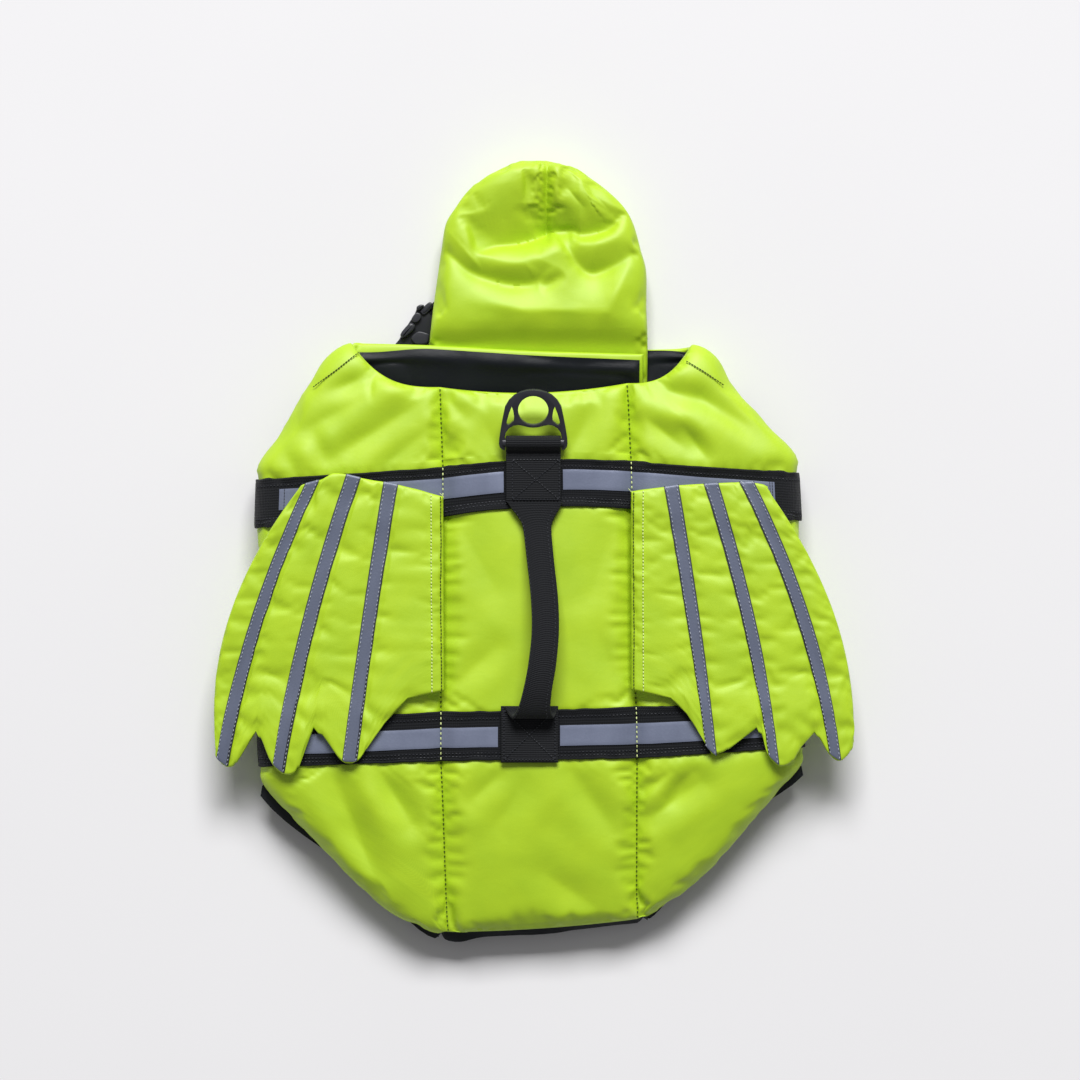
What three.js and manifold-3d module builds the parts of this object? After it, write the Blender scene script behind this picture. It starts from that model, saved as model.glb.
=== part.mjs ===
// A dog's life jacket, buckled shut and laid on its belly, in millimetres with +Z up.
// The neck end points to +Y. The jacket is a flattened tube of foam-filled panels: a back of
// three channels, two belly flaps, two chest flaps and a chin float, with a wing on each side,
// webbing bands and belts, a grab handle and a lead ring that swings on its webbing loop.
import * as THREE from 'three';
import { mergeVertices } from 'three/addons/utils/BufferGeometryUtils.js';
import Module from 'manifold-3d';

const wasm = await Module();
wasm.setup();

// Driving dimensions
const PAD = 14; // foam panels of the back
const BELLY_PAD = 11; // foam of the belly flaps
const WING_PAD = 4.2; // two layers of cloth with thin wadding
const SEWN_EDGE = 3.6; // any panel where it is sewn flat
const LINING = 1.2; // lining cloth
const WEBBING = 1.8; // bands, belts and patches
const TAPE = 0.8; // reflective tape
const GAP = 0.3; // between pieces that touch
const BELT_CLEAR = 2.1; // height of the belly over the surface, room for the belts
const BELT_LEVEL = 70; // the belts lie level nearer the middle than this
const LIP = 7; // how far the lining shows past the rear hem

// A table with named columns: one object for each row.
const table = (names, rows) => {
  const keys = names.split(' ');
  return rows.map((row) => Object.fromEntries(row.map((value, i) => [keys[i], value])));
};

// Sections across the back, from the neck edge to the rear hem. Each crosses the left edge, the
// two channel seams and the right edge. sag bows the middle, crown, seamZ and edgeZ are heights of
// the panel's mid surface, bend curves the section towards its ends, and steps are rows to the next.
const BACK = table(
  'leftX leftY seamLX seamLY sag seamRX seamRY rightX rightY crown seamZ edgeZ bend steps',
  [
    [-131.4, 148.9, -68.8, 118.7, -5.5, 65.9, 121.5, 111.2, 147.5, 37, 36, 23, 3.0, 2],
    [-148.0, 137.4, -68.4, 109.3, -4.0, 66.6, 110.7, 127.1, 138.1, 37.5, 36.5, 22, 2.2, 1],
    [-163.8, 115.1, -68.0, 94.9, -1.5, 67.3, 96.3, 142.2, 115.1, 38, 37, 20, 1.4, 1],
    [-181.1, 85.5, -67.3, 78.3, 1.0, 68.0, 80.5, 165.2, 89.9, 38, 37, 19, 1.2, 1],
    [-196.2, 61.1, -67.0, 66.8, 3.0, 68.4, 71.1, 184.0, 67.5, 38, 37, 20, 1, 1],
    [-195.8, 52.8, -66.6, 61.1, 3.5, 68.8, 65.4, 184.2, 57.5, 38, 37, 20, 1, 3],
    [-196.9, 17.1, -66.6, 25.1, 3.5, 69.5, 30.8, 186.1, 22.2, 38, 37, 20, 1, 2],
    [-196.9, -5.9, -67.3, -5.9, 2.0, 69.5, -5.9, 187.6, -5.9, 38.5, 37.5, 20, 1, 3],
    [-196.2, -63.5, -68.0, -63.5, 0, 69.8, -63.5, 188.3, -63.5, 38.5, 37.5, 20, 1, 3],
    [-195.5, -120.4, -68.0, -114.6, 0, 72.4, -111.0, 188.3, -106.7, 38, 37, 20, 1, 3],
    [-194.0, -154.9, -68.0, -150.6, 0, 73.1, -148.5, 188.3, -141.3, 37, 36, 20, 1, 1],
    [-192.6, -166.5, -67.3, -167.9, 0, 73.1, -165.7, 187.6, -152.8, 36, 35, 20, 1, 1],
    [-174.6, -188.8, -66.6, -187.3, 0, 73.1, -184.5, 172.4, -172.2, 34, 33.5, 20, 1, 2],
    [-153.7, -211.1, -65.9, -208.9, 0, 73.1, -206.1, 153.0, -195.3, 31.5, 31, 20, 1, 2],
    [-129.2, -237.0, -65.2, -232.0, -0.5, 73.1, -226.2, 130.7, -221.2, 28.5, 28, 20, 1, 2],
    [-103.3, -258.6, -64.4, -253.6, -1, 73.1, -244.9, 106.2, -243.5, 25.5, 25, 19.5, 1, 1],
    [-79.6, -270.1, -63.7, -268.0, -1.5, 73.8, -257.9, 86.0, -257.2, 23, 22.5, 19, 1, 2],
    [-68.8, -274.5, -63.0, -275.2, -2.0, 73.8, -265.8, 78.8, -262.9, 21.5, 21, 19, 1, 0],
  ],
);
const FRONT_OF_SIDE = 4; // section where the side fold starts
const BAND_UPPER = [5, 6]; // sections along the edges of the bands
const BAND_LOWER = [9, 10];
const TAPE_EDGES = [0.3, 0.66]; // the tape's edges as shares of a band's width
const REAR_OF_SIDE = 11; // section where the side fold ends
const SHOULDER = 2; // section where the chest flap's sewn edge ends

// Broad creases in the cloth of the back: a line, a half width and a depth.
const BACK_CREASES = table('x0 y0 x1 y1 width depth', [
  [-143, 70, -84, 106, 11, 2.6],
  [-180, 80, -119, 111, 9, 2.4],
  [-110, 62, -82, 84, 9, 2.0],
  [83, 117, 172, 83, 10, 2.6],
  [82, 94, 136, 67, 10, 2.2],
  [-146, -159, -116, -248, 13, 2.6],
  [-114, -159, -87, -194, 11, 2.0],
  [84, -194, 111, -169, 11, 2.2],
  [-47, -174, -19, -155, 10, 1.6],
  [26, -158, 55, -199, 11, 1.6],
]);

// The belly flaps reach from the side fold towards the middle of the belly.
const BELLY = table('section leftEndX leftEndY rightEndX rightEndY', [
  [4, -34, 42, 34, 44],
  [5, -34, 34, 34, 34],
  [6, -34, 2, 34, 2],
  [7, -34, -22, 34, -22],
  [8, -34, -78, 34, -76],
  [9, -34, -128, 34, -128],
  [10, -34, -162, 34, -162],
  [11, -34, -206, 34, -202],
]);
const BELLY_REAR = 3; // how far the flaps' rear corner shows past the back at the side

// The chest flaps, from the neck edge down: share of the shoulder seam, and the inner end.
const CHEST_LEFT = table('share x y z pad', [
  [0, 78, 143, 26.8, 7],
  [0.25, 78, 131, 25.0, 7],
  [0.5, 78, 119, 21.6, 7],
  [0.75, 77, 105.5, 18.6, 7],
  [1, 74, 92, 14, 7],
]);
const CHEST_RIGHT = table('share x y z pad', [
  [0, -34, 146, 2.7, 5],
  [0.25, -34, 133, 2.7, 5],
  [0.5, -34, 120, 2.7, 5],
  [0.75, -34, 108, 2.7, 5],
  [1, -34, 96, 2.7, 5],
]);
const CHEST_ROWS = [0, 0.08, 0.25, 0.5, 0.75, 0.92, 1];

// The chin float, from its sewn end under the chest flap to its rounded tip.
const FLOAT = table('y left right mid pad', [
  [120, -76, 81, 11.4, 5.4],
  [134, -77, 81.3, 13.2, 8],
  [149, -77.2, 81.4, 14.3, 14],
  [163, -75.8, 81, 18, 22],
  [177, -74.2, 80.4, 16.5, 29],
  [203, -70.6, 80.3, 15.5, 31],
  [219, -68.3, 76.3, 15.5, 31],
  [237, -65.2, 71.3, 15.5, 31],
  [249, -58, 64.9, 15.5, 31],
  [260, -49.8, 54.4, 15.5, 31],
  [270.5, -38.2, 40.7, 15.5, 31],
  [278.5, -23.5, 27, 15.5, 31],
  [283.7, -11, 8, 15.5, 31],
]);
const FLOAT_COLUMNS = [0, 0.04, 0.12, 0.24, 0.38, 0.5, 0.62, 0.76, 0.88, 0.96, 1];
const FLOAT_CREASES = table('x0 y0 x1 y1 width depth', [
  [7.5, 284, 8, 232, 6, 6.0],
  [-30, 244, 42, 246, 15, 8.0],
  [-44, 216, 0, 226, 10, 4.5],
  [-66, 212, -8, 194, 9, 5.5],
  [30, 232, 62, 216, 12, 4.5],
]);

// Lines down a wing from its top edge to its scalloped end, from the outer edge to the root.
// bow is how far the line curves outwards, and tape marks the left line of a reflective tape.
const WING_LEFT = table('topX topY endX endY bow tape', [
  [-168.1, 47.7, -229.3, -148.0, 23, 0],
  [-165.6, 48.8, -228.2, -150.6, 9.5, 1],
  [-154.4, 51.7, -222.1, -155.0, 7, 0],
  [-150.1, 53.9, -214.9, -151.7, 7, 0],
  [-145.1, 56.4, -201.2, -129.4, 6.5, 0],
  [-136.1, 55.7, -189.7, -151.7, 5.5, 1],
  [-125.3, 53.1, -179.3, -160.0, 4.5, 0],
  [-122.0, 52.4, -169.6, -154.2, 4, 0],
  [-116.3, 51.3, -159.3, -126.4, 3, 0],
  [-109.4, 50.3, -139.3, -149.9, 1.5, 1],
  [-98.3, 48.1, -128.5, -150.3, 0.7, 0],
  [-92.5, 46.7, -121.0, -141.3, 0.3, 0],
  [-83.2, 44.5, -108.4, -123.3, 0, 0],
  [-76.0, 42.3, -91.8, -105.3, 0, 0],
  [-66.2, 39.7, -65.6, -99.9, 0, 0],
]);
const WING_RIGHT = table('topX topY endX endY bow tape', [
  [164.5, 47.4, 229.3, -136.2, -18, 0],
  [163.3, 48.5, 227.9, -142.7, -9, 0],
  [152.7, 50.3, 219.6, -150.6, -9.5, 1],
  [150.5, 50.3, 211.3, -145.6, -9, 0],
  [148.0, 50.3, 200.7, -130.0, -8, 0],
  [143.7, 49.9, 191.2, -140.2, -7, 0],
  [139.0, 49.8, 185.4, -150.3, -5.5, 0],
  [127.8, 49.2, 175.7, -153.9, -5, 1],
  [124.2, 49.0, 167.0, -146.0, -4.5, 0],
  [119.2, 48.8, 158.8, -126.4, -4, 0],
  [110.2, 48.3, 139.3, -141.3, -2.5, 0],
  [99.4, 47.6, 128.2, -144.9, -1.5, 1],
  [95.4, 47.0, 124.2, -141.3, -1, 0],
  [83.9, 45.6, 108.4, -116.1, 0, 0],
  [75.2, 44.5, 97.1, -105.1, 0, 0],
  [68.5, 43.3, 68.8, -99.2, 0, 0],
]);
const WING_ROWS = [0, 0.03, 0.1, 0.22, 0.36, 0.5, 0.64, 0.78, 0.9, 0.97, 1];
const WING_DROOP = 0.0018; // a wing's free part droops by this times its overhang squared
const WING_REACH = 140; // distance from the middle at which it starts to droop

// The ring's webbing: a tail on the upper band, a turn round the ring's bar and a top layer.
const LOOP = { rear: 36, middle: -1.5, width: 39.4, foot: 48.3, turnRadius: 4.2, leave: 165 };

// The grab handle's middle line: it leaves the ring's webbing, bows up and sideways, and turns
// back down over the rear patch. width is the folded webbing's, wider where it opens out.
const HANDLE = table('x y z width', [
  [-0.4, 35.7, 50.9, 40],
  [0.0, 30.5, 51.0, 34],
  [0.6, 24.5, 51.4, 26],
  [1.2, 17.0, 52.4, 20.5],
  [3.4, -5.0, 57.5, 19.5],
  [6.4, -33.0, 64.0, 19.5],
  [7.0, -57.0, 67.5, 19.5],
  [4.8, -80.0, 69.0, 20],
  [1.6, -98.0, 67.5, 20.5],
  [-0.8, -111.0, 63.5, 23],
  [-1.8, -117.5, 58.5, 29],
  [-2.6, -116.0, 53.9, 34],
  [-3.4, -111.2, 51.1, 38],
]);
const HANDLE_PAD = 3; // the folded webbing's thickness
const REAR_PATCH = { x0: -24.8, x1: 16.2, y0: -110.6, y1: -151.3 };

// The lead ring: a D-shaped plate with a round eye, two side windows and a bar in the webbing.
const RING = {
  x: -1.6,
  barY: 78.3,
  barZ: 52.5,
  barRadius: 3,
  plate: 3.4,
  eyeAt: 24.7,
  eyeRadius: 10.9,
  tilt: 20, // degrees above level where it lies
};
// Half of its outline, of the edge over the webbing and of a side window: across and along
const RING_OUTER = table('u v', [
  [20.3, -5.2], [22.2, -4.8], [23.9, -3.2], [24.6, -0.5], [24.4, 3], [23.4, 10], [21.9, 18.5],
  [20.1, 27.4], [17.4, 32], [13.6, 35.7], [9.2, 38.3], [4.6, 39.7], [0, 40.1],
]);
const RING_ARCH = table('u v', [
  [20.3, 5], [19.6, 8.2], [17.4, 11.4], [14, 13.4], [10.8, 13.9], [7.4, 13.2], [3.4, 12.1], [0, 11.8],
]);
const RING_WINDOW = table('u v', [
  [15.4, 27.6], [17.4, 22.2], [19.1, 15.8], [18.8, 14], [17.4, 13.7], [13.9, 16.8], [13.7, 20.4],
  [14.4, 25],
]);

// Side-release buckles: two under the belly and one at the neck, with the neck's straps
const BUCKLE = { reach: 33, split: 4, width: 46, height: 9, barAt: 25.5 };
const NECK_BUCKLE = { x: -85.7, y: 155.5, length: 36, width: 24, height: 6.5, turn: 46.6 };
const NECK_STRAP = 20; // width
const NECK_FRONT = table('along z', [[18.3, 2.4], [25, 1.8], [32, 1.2], [38, 1.2]]);
const NECK_REAR = table('along z', [
  [-18.3, 3.2], [-24, 4.0], [-30, 6.6], [-37, 9.4], [-44, 11.0], [-50, 11.2],
]);

// Numbers between table rows follow a smooth curve through them.
function along(rows, key, t) {
  const i = Math.min(Math.floor(t), rows.length - 2);
  const f = t - i;
  const at = (k) => rows[Math.max(0, Math.min(rows.length - 1, k))][key];
  const [a, b, c, d] = [at(i - 1), at(i), at(i + 1), at(i + 2)];
  const cubic = 0.5 * (2 * b + (c - a) * f + (2 * a - 5 * b + 4 * c - d) * f * f
    + (3 * b - a - 3 * c + d) * f * f * f);
  return Math.min(Math.max(cubic, Math.min(b, c) - 1.5), Math.max(b, c) + 1.5);
}
const sectionAt = (rows, t) => Object.fromEntries(
  Object.keys(rows[0]).map((k) => [k, along(rows, k, t)]),
);
const mix = (a, b, f) => a + (b - a) * f;
const clamp01 = (v) => Math.min(1, Math.max(0, v));
const smooth = (a, b, v) => {
  const f = clamp01((v - a) / (b - a));
  return f * f * (3 - 2 * f);
};
const point = (x, y, z) => new THREE.Vector3(x, y, z);

// Places down the back where the grid has a row, with extra rows close to the neck and the hem.
const ROW_PLACES = [0, 0.2];
BACK.forEach((row, i) => {
  for (let k = i ? 0 : 1; k < row.steps; k++) ROW_PLACES.push(i + k / row.steps);
});
ROW_PLACES.push(BACK.length - 1.25, BACK.length - 1);
ROW_PLACES.sort((a, b) => a - b);

// Shares of a panel's width where the grid has a column, closer together at its sewn edges.
const SIDE_COLUMNS = [0, 0.035, 0.11, 0.3, 0.52, 0.72, 0.86, 0.95, 1];
const CENTRE_COLUMNS = [0, 0.035, 0.11, 0.3, 0.5, 0.7, 0.89, 0.965, 1];

// A line that runs level from an inner point and turns to upright at an outer point, sampled at
// shares of its own length. power sets how boxy the turn is.
function turned(inner, outer, power, bend, shares) {
  const steps = 48;
  const fine = [];
  for (let k = 0; k <= steps; k++) {
    const a = Math.sin((k / steps) * Math.PI / 2);
    fine.push(point(
      mix(inner.x, outer.x, a),
      mix(inner.y, outer.y, Math.pow(a, bend)),
      outer.z + (inner.z - outer.z) * Math.pow(Math.max(0, 1 - Math.pow(a, power)), 1 / power),
    ));
  }
  return resample(fine, shares);
}
function resample(fine, shares) {
  const lengths = [0];
  for (let k = 1; k < fine.length; k++) {
    lengths.push(lengths[k - 1] + fine[k].distanceTo(fine[k - 1]));
  }
  const total = lengths[lengths.length - 1];
  return shares.map((share) => {
    let k = 1;
    while (k < fine.length - 1 && lengths[k] < share * total) k++;
    const f = clamp01((share * total - lengths[k - 1]) / (lengths[k] - lengths[k - 1] || 1));
    return fine[k - 1].clone().lerp(fine[k], f);
  });
}

// Normals of a grid of points, from its neighbours.
function normalsOf(grid) {
  return grid.map((row, i) => row.map((p, j) => {
    const down = grid[Math.min(i + 1, grid.length - 1)][j].clone().sub(grid[Math.max(i - 1, 0)][j]);
    const over = row[Math.min(j + 1, row.length - 1)].clone().sub(row[Math.max(j - 1, 0)]);
    return over.cross(down).normalize().negate();
  }));
}
// Distances of each grid point from the grid's four borders: first and last row, first and last column.
function bordersOf(grid) {
  const rows = grid.length;
  const columns = grid[0].length;
  const place = grid.map((row) => row.map(() => ({ first: 0, last: 0, left: 0, right: 0 })));
  for (let i = 0; i < rows; i++) {
    for (let j = 0; j < columns; j++) {
      if (i) place[i][j].first = place[i - 1][j].first + grid[i][j].distanceTo(grid[i - 1][j]);
      if (j) place[i][j].left = place[i][j - 1].left + grid[i][j].distanceTo(grid[i][j - 1]);
    }
  }
  for (let i = 0; i < rows; i++) {
    for (let j = 0; j < columns; j++) {
      place[i][j].last = place[rows - 1][j].first - place[i][j].first;
      place[i][j].right = place[i][columns - 1].left - place[i][j].left;
    }
  }
  return place;
}
// A padded edge rounds off over this reach.
const rounded = (distance, reach) => {
  const f = clamp01(distance / reach);
  return Math.sqrt(1 - (1 - f) * (1 - f));
};
// Thickness of a padded panel at each grid point: full inside, sewn flat at the borders.
function padding(grid, pad, reach, edge = SEWN_EDGE) {
  const borders = bordersOf(grid);
  return grid.map((row, i) => row.map((p, j) => {
    const full = typeof pad === 'function' ? pad(p) : pad;
    const share = ['first', 'last', 'left', 'right']
      .reduce((all, side) => all * (reach[side] ? rounded(borders[i][j][side], reach[side]) : 1), 1);
    return edge + Math.max(0, full - edge) * share;
  }));
}
function moved(grid, normals, distance) {
  return grid.map((row, i) => row.map((p, j) => p.clone()
    .addScaledVector(normals[i][j], typeof distance === 'function' ? distance(i, j) : distance)));
}
// Depth of the creases at a point.
function creased(creases, p) {
  let depth = 0;
  for (const c of creases) {
    const [dx, dy] = [c.x1 - c.x0, c.y1 - c.y0];
    const f = clamp01(((p.x - c.x0) * dx + (p.y - c.y0) * dy) / (dx * dx + dy * dy));
    const away = Math.hypot(p.x - c.x0 - f * dx, p.y - c.y0 - f * dy);
    depth += c.depth * Math.exp(-((away / c.width) ** 2)) * (0.55 + 0.45 * Math.sin(Math.PI * f));
  }
  return depth;
}

// One closed body between two grids of points, with walls round their borders.
function closedSheet(outer, inner) {
  const [rows, columns] = [outer.length, outer[0].length];
  const last = columns - 1;
  const positions = [...outer.flat(), ...inner.flat()].flatMap((p) => [p.x, p.y, p.z]);
  const id = (layer, i, j) => layer * rows * columns + i * columns + j;
  const index = [];
  const quad = (a, b, c, d) => index.push(a, b, c, a, c, d);
  for (let i = 0; i < rows - 1; i++) {
    for (let j = 0; j < columns - 1; j++) {
      quad(id(0, i, j), id(0, i + 1, j), id(0, i + 1, j + 1), id(0, i, j + 1));
      quad(id(1, i, j), id(1, i, j + 1), id(1, i + 1, j + 1), id(1, i + 1, j));
    }
  }
  for (let j = 0; j < columns - 1; j++) {
    quad(id(0, 0, j), id(0, 0, j + 1), id(1, 0, j + 1), id(1, 0, j));
    quad(id(0, rows - 1, j + 1), id(0, rows - 1, j), id(1, rows - 1, j), id(1, rows - 1, j + 1));
  }
  for (let i = 0; i < rows - 1; i++) {
    quad(id(0, i + 1, 0), id(0, i, 0), id(1, i, 0), id(1, i + 1, 0));
    quad(id(0, i, last), id(0, i + 1, last), id(1, i + 1, last), id(1, i, last));
  }
  return facingOut(positions, index);
}
function facingOut(positions, index) {
  let volume = 0;
  const at = (k) => point(...positions.slice(3 * k, 3 * k + 3));
  for (let k = 0; k < index.length; k += 3) {
    volume += at(index[k]).dot(at(index[k + 1]).cross(at(index[k + 2])));
  }
  if (volume < 0) {
    for (let k = 0; k < index.length; k += 3) [index[k], index[k + 1]] = [index[k + 1], index[k]];
  }
  const geometry = new THREE.BufferGeometry();
  geometry.setAttribute('position', new THREE.Float32BufferAttribute(positions, 3));
  geometry.setIndex(index);
  geometry.computeVertexNormals();
  return geometry;
}

// Height of the highest face of some grids over a point of the plan, or nothing.
function heightOver(grids, x, y) {
  let best = -Infinity;
  const inside = (a, b, c) => {
    const area = (b.x - a.x) * (c.y - a.y) - (c.x - a.x) * (b.y - a.y);
    if (Math.abs(area) < 1e-9) return;
    const s = ((b.x - x) * (c.y - y) - (c.x - x) * (b.y - y)) / area;
    const t = ((c.x - x) * (a.y - y) - (a.x - x) * (c.y - y)) / area;
    if (s < -1e-9 || t < -1e-9 || s + t > 1 + 1e-9) return;
    best = Math.max(best, s * a.z + t * b.z + (1 - s - t) * c.z);
  };
  for (const grid of grids) {
    for (let i = 0; i < grid.length - 1; i++) {
      for (let j = 0; j < grid[0].length - 1; j++) {
        inside(grid[i][j], grid[i + 1][j], grid[i + 1][j + 1]);
        inside(grid[i][j], grid[i + 1][j + 1], grid[i][j + 1]);
      }
    }
  }
  return best;
}

// Materials
const cloth = (color, roughness = 0.62) => new THREE.MeshStandardMaterial({ color, roughness });
const LIME = cloth(0xa8d42a);
const BLACK_LINING = cloth(0x14171b, 0.5);
const BLACK_WEBBING = cloth(0x1a1b1f, 0.8);
const GREY_TAPE = new THREE.MeshStandardMaterial({ color: 0x7c8398, roughness: 0.35, metalness: 0.2 });
const BLACK_PLASTIC = new THREE.MeshStandardMaterial({ color: 0x25272c, roughness: 0.4, metalness: 0 });

const jacket = new THREE.Group();
function add(name, geometry, material) {
  const mesh = new THREE.Mesh(geometry, material);
  mesh.name = name;
  jacket.add(mesh);
  return mesh;
}

// The back's mid surface, one grid for each channel
const backRows = ROW_PLACES.map((t) => sectionAt(BACK, t));
const sideGrid = (side, rows = backRows) => rows.map((row) => turned(
  point(row[`seam${side}X`] + (side === 'L' ? -GAP / 2 : GAP / 2), row[`seam${side}Y`], row.seamZ),
  side === 'L' ? point(row.leftX, row.leftY, row.edgeZ) : point(row.rightX, row.rightY, row.edgeZ),
  3.2,
  row.bend,
  SIDE_COLUMNS,
));
const centreGrid = (rows = backRows) => rows.map((row) => CENTRE_COLUMNS.map((s) => {
  const arch = 4 * s * (1 - s);
  return point(
    mix(row.seamLX + GAP / 2, row.seamRX - GAP / 2, s),
    mix(row.seamLY, row.seamRY, s) + row.sag * arch,
    mix(row.seamZ, row.crown, arch),
  );
}));
const reversed = (grid) => grid.map((row) => [...row].reverse());

// A padded panel with a creased outer face over a plain inner one
function paddedPanel(grid, pad, reach, creases = [], up = 1) {
  const normals = normalsOf(grid);
  const thick = padding(grid, pad, reach);
  const outer = moved(grid, normals, (i, j) => up * (thick[i][j] / 2
    - creased(creases, grid[i][j]) * clamp01((thick[i][j] - SEWN_EDGE) / 6)));
  const inner = moved(grid, normals, (i, j) => -up * thick[i][j] / 2);
  return { grid, normals, outer, inner };
}
const SIDE_REACH = { first: 11, last: 11, left: 15, right: 15 };
const CENTRE_REACH = { first: 11, last: 11, left: 15, right: 15 };
const backLeft = paddedPanel(reversed(sideGrid('L')), PAD, SIDE_REACH, BACK_CREASES);
const backCentre = paddedPanel(centreGrid(), PAD, CENTRE_REACH, BACK_CREASES);
const backRight = paddedPanel(sideGrid('R'), PAD, SIDE_REACH, BACK_CREASES);
add('back_left_panel', closedSheet(backLeft.outer, backLeft.inner), LIME);
add('back_centre_panel', closedSheet(backCentre.outer, backCentre.inner), LIME);
add('back_right_panel', closedSheet(backRight.outer, backRight.inner), LIME);

// Across the whole back: the three grids side by side
const across = (part) => backLeft[part].map(
  (row, i) => [...row, ...backCentre[part][i], ...backRight[part][i]],
);
const backOuter = across('outer');
const backInner = across('inner');
const backNormals = across('normals');
const rowAt = (section) => ROW_PLACES.findIndex((t) => Math.abs(t - section) < 1e-9);
const between = (grid, [from, to]) => grid.slice(rowAt(from), rowAt(to) + 1);

// The back's lining, one sheet under the three channels, showing past the rear hem as a lip
function backLining() {
  const last = ROW_PLACES.length - 1;
  const rows = ROW_PLACES.map((t, i) => i).filter((i) => i < 4 || i > last - 5 || i % 2 === 0);
  const pick = (grid) => rows.map((i) => grid[i].slice(1, -1));
  const [inner, normals] = [pick(backInner), pick(backNormals)];
  const top = moved(inner, normals, -GAP - 0.5);
  const under = moved(top, normals, -LINING);
  const lipTop = top[top.length - 1].map((p) => point(p.x, p.y - LIP, p.z - 2.5));
  const lipUnder = lipTop.map((p) => point(p.x, p.y + 0.5, p.z - LINING));
  return closedSheet([...top, lipTop], [...under, lipUnder]);
}
add('back_lining', backLining(), BLACK_LINING);

// The bands are the back's own points between two sections, moved out.
const BAND_COLUMNS = { from: 2, to: backOuter[0].length - 3 };
const strip = (grid, [from, to]) => grid.map((row) => row.slice(from, to + 1));
function webbingOn(outer, normals, lift, thickness) {
  return closedSheet(moved(outer, normals, lift + thickness), moved(outer, normals, lift));
}
function band(name, sections) {
  const columns = [BAND_COLUMNS.from, BAND_COLUMNS.to];
  const [outer, normals] = [backOuter, backNormals].map((grid) => strip(between(grid, sections), columns));
  add(name, webbingOn(outer, normals, GAP, WEBBING), BLACK_WEBBING);
  return moved(outer, normals, GAP + WEBBING);
}
const bandUpper = band('band_upper', BAND_UPPER);
const bandLower = band('band_lower', BAND_LOWER);

// Reflective tape runs along the middle of a band, from each side to the webbing patch.
function bandTape(name, sections, columns) {
  const [outer, normals] = [backOuter, backNormals].map((grid) => strip(between(grid, sections), columns));
  const rows = TAPE_EDGES.map((f) => {
    const place = f * (outer.length - 1);
    const i = Math.min(Math.floor(place), outer.length - 2);
    return outer[i].map((p, j) => p.clone().lerp(outer[i + 1][j], place - i));
  });
  const place = normals.length - 2;
  add(name, webbingOn(rows, [normals[1], normals[place]], GAP + WEBBING + GAP, TAPE), GREY_TAPE);
  return moved(rows, [normals[1], normals[place]], GAP + WEBBING + GAP + TAPE);
}
const tapeTops = [
  bandTape('band_upper_tape_left', BAND_UPPER, [3, 11]),
  bandTape('band_upper_tape_right', BAND_UPPER, [15, 23]),
  bandTape('band_lower_tape_left', BAND_LOWER, [3, 11]),
  bandTape('band_lower_tape_right', BAND_LOWER, [15, 23]),
];

// Belly flaps: they hang from the side fold and turn level under the jacket.
const bellyPlaces = ROW_PLACES.filter((t) => t >= FRONT_OF_SIDE && t <= REAR_OF_SIDE);
const BELLY_COLUMNS = [0, 0.06, 0.2, 0.45, 0.7, 0.84, 0.92, 0.97, 1];
function bellyGrid(side) {
  const [edge, end] = side === 'L' ? ['left', 'leftEnd'] : ['right', 'rightEnd'];
  return bellyPlaces.map((t) => {
    const row = sectionAt(BACK, t);
    const under = sectionAt(BELLY, t - FRONT_OF_SIDE);
    const rear = BELLY_REAR * smooth(REAR_OF_SIDE - 1, REAR_OF_SIDE, t);
    return turned(
      point(under[`${end}X`], under[`${end}Y`], BELT_CLEAR + BELLY_PAD / 2),
      point(row[`${edge}X`], row[`${edge}Y`] - rear, row.edgeZ - 1.4),
      4,
      1,
      BELLY_COLUMNS,
    );
  });
}
const BELLY_REACH = { first: 10, last: 10, left: 10, right: 12 };
function bellyFlap(side) {
  const name = side === 'L' ? 'belly_left' : 'belly_right';
  const down = side === 'L' ? 1 : -1;
  const panel = paddedPanel(bellyGrid(side), BELLY_PAD, BELLY_REACH, [], down);
  add(`${name}_flap`, closedSheet(panel.outer, panel.inner), LIME);
  const thin = (grid) => grid.map((row) => [0, 1, 2, 4, 5, 6, 7].map((j) => row[j]));
  const top = moved(thin(panel.inner), thin(panel.normals), -down * (GAP + 0.3));
  const over = moved(top, thin(panel.normals), -down * LINING);
  add(`${name}_lining`, closedSheet(top, over), BLACK_LINING);
  return { ...panel, down };
}
const belly = { L: bellyFlap('L'), R: bellyFlap('R') };

// Belts carry the bands on round the side fold and under the belly to a buckle.
function belt(name, side, sections) {
  const flap = belly[side];
  const rows = bellyPlaces.map((t, i) => i)
    .filter((i) => bellyPlaces[i] >= sections[0] && bellyPlaces[i] <= sections[1]);
  const [edge, next, seam] = side === 'L' ? [0, 1, 2] : [26, 25, 24];
  const [top, topNormals] = [backOuter, backNormals].map((grid) => between(grid, sections)
    .map((row) => [row[edge], row[next], row[seam].clone().lerp(row[next], 0.04)]));
  const under = rows.map((i) => flap.outer[i].slice(0, 8).reverse());
  const facing = (row) => row.slice(0, 8).reverse().map((n) => n.clone().multiplyScalar(flap.down));
  const underNormals = rows.map((i) => facing(flap.normals[i]));
  const grid = top.map((row, i) => [...row.reverse(), ...under[i]]);
  const normals = topNormals.map((row, i) => [...row.reverse(), ...underNormals[i]]);
  const lifted = (lift, floor) => moved(grid, normals, lift).map((row) => {
    const level = (p) => (Math.abs(p.x) < BELT_LEVEL ? floor : Math.max(p.z, floor));
    const flat = row.map((p) => point(p.x, p.y, level(p)));
    const end = flat[flat.length - 1];
    return [...flat, point(Math.sign(end.x) * (BUCKLE.barAt + 0.5), end.y, floor)];
  });
  add(name, closedSheet(lifted(GAP + WEBBING, 0), lifted(GAP, WEBBING)), BLACK_WEBBING);
}
belt('belt_upper_left', 'L', BAND_UPPER);
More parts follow.
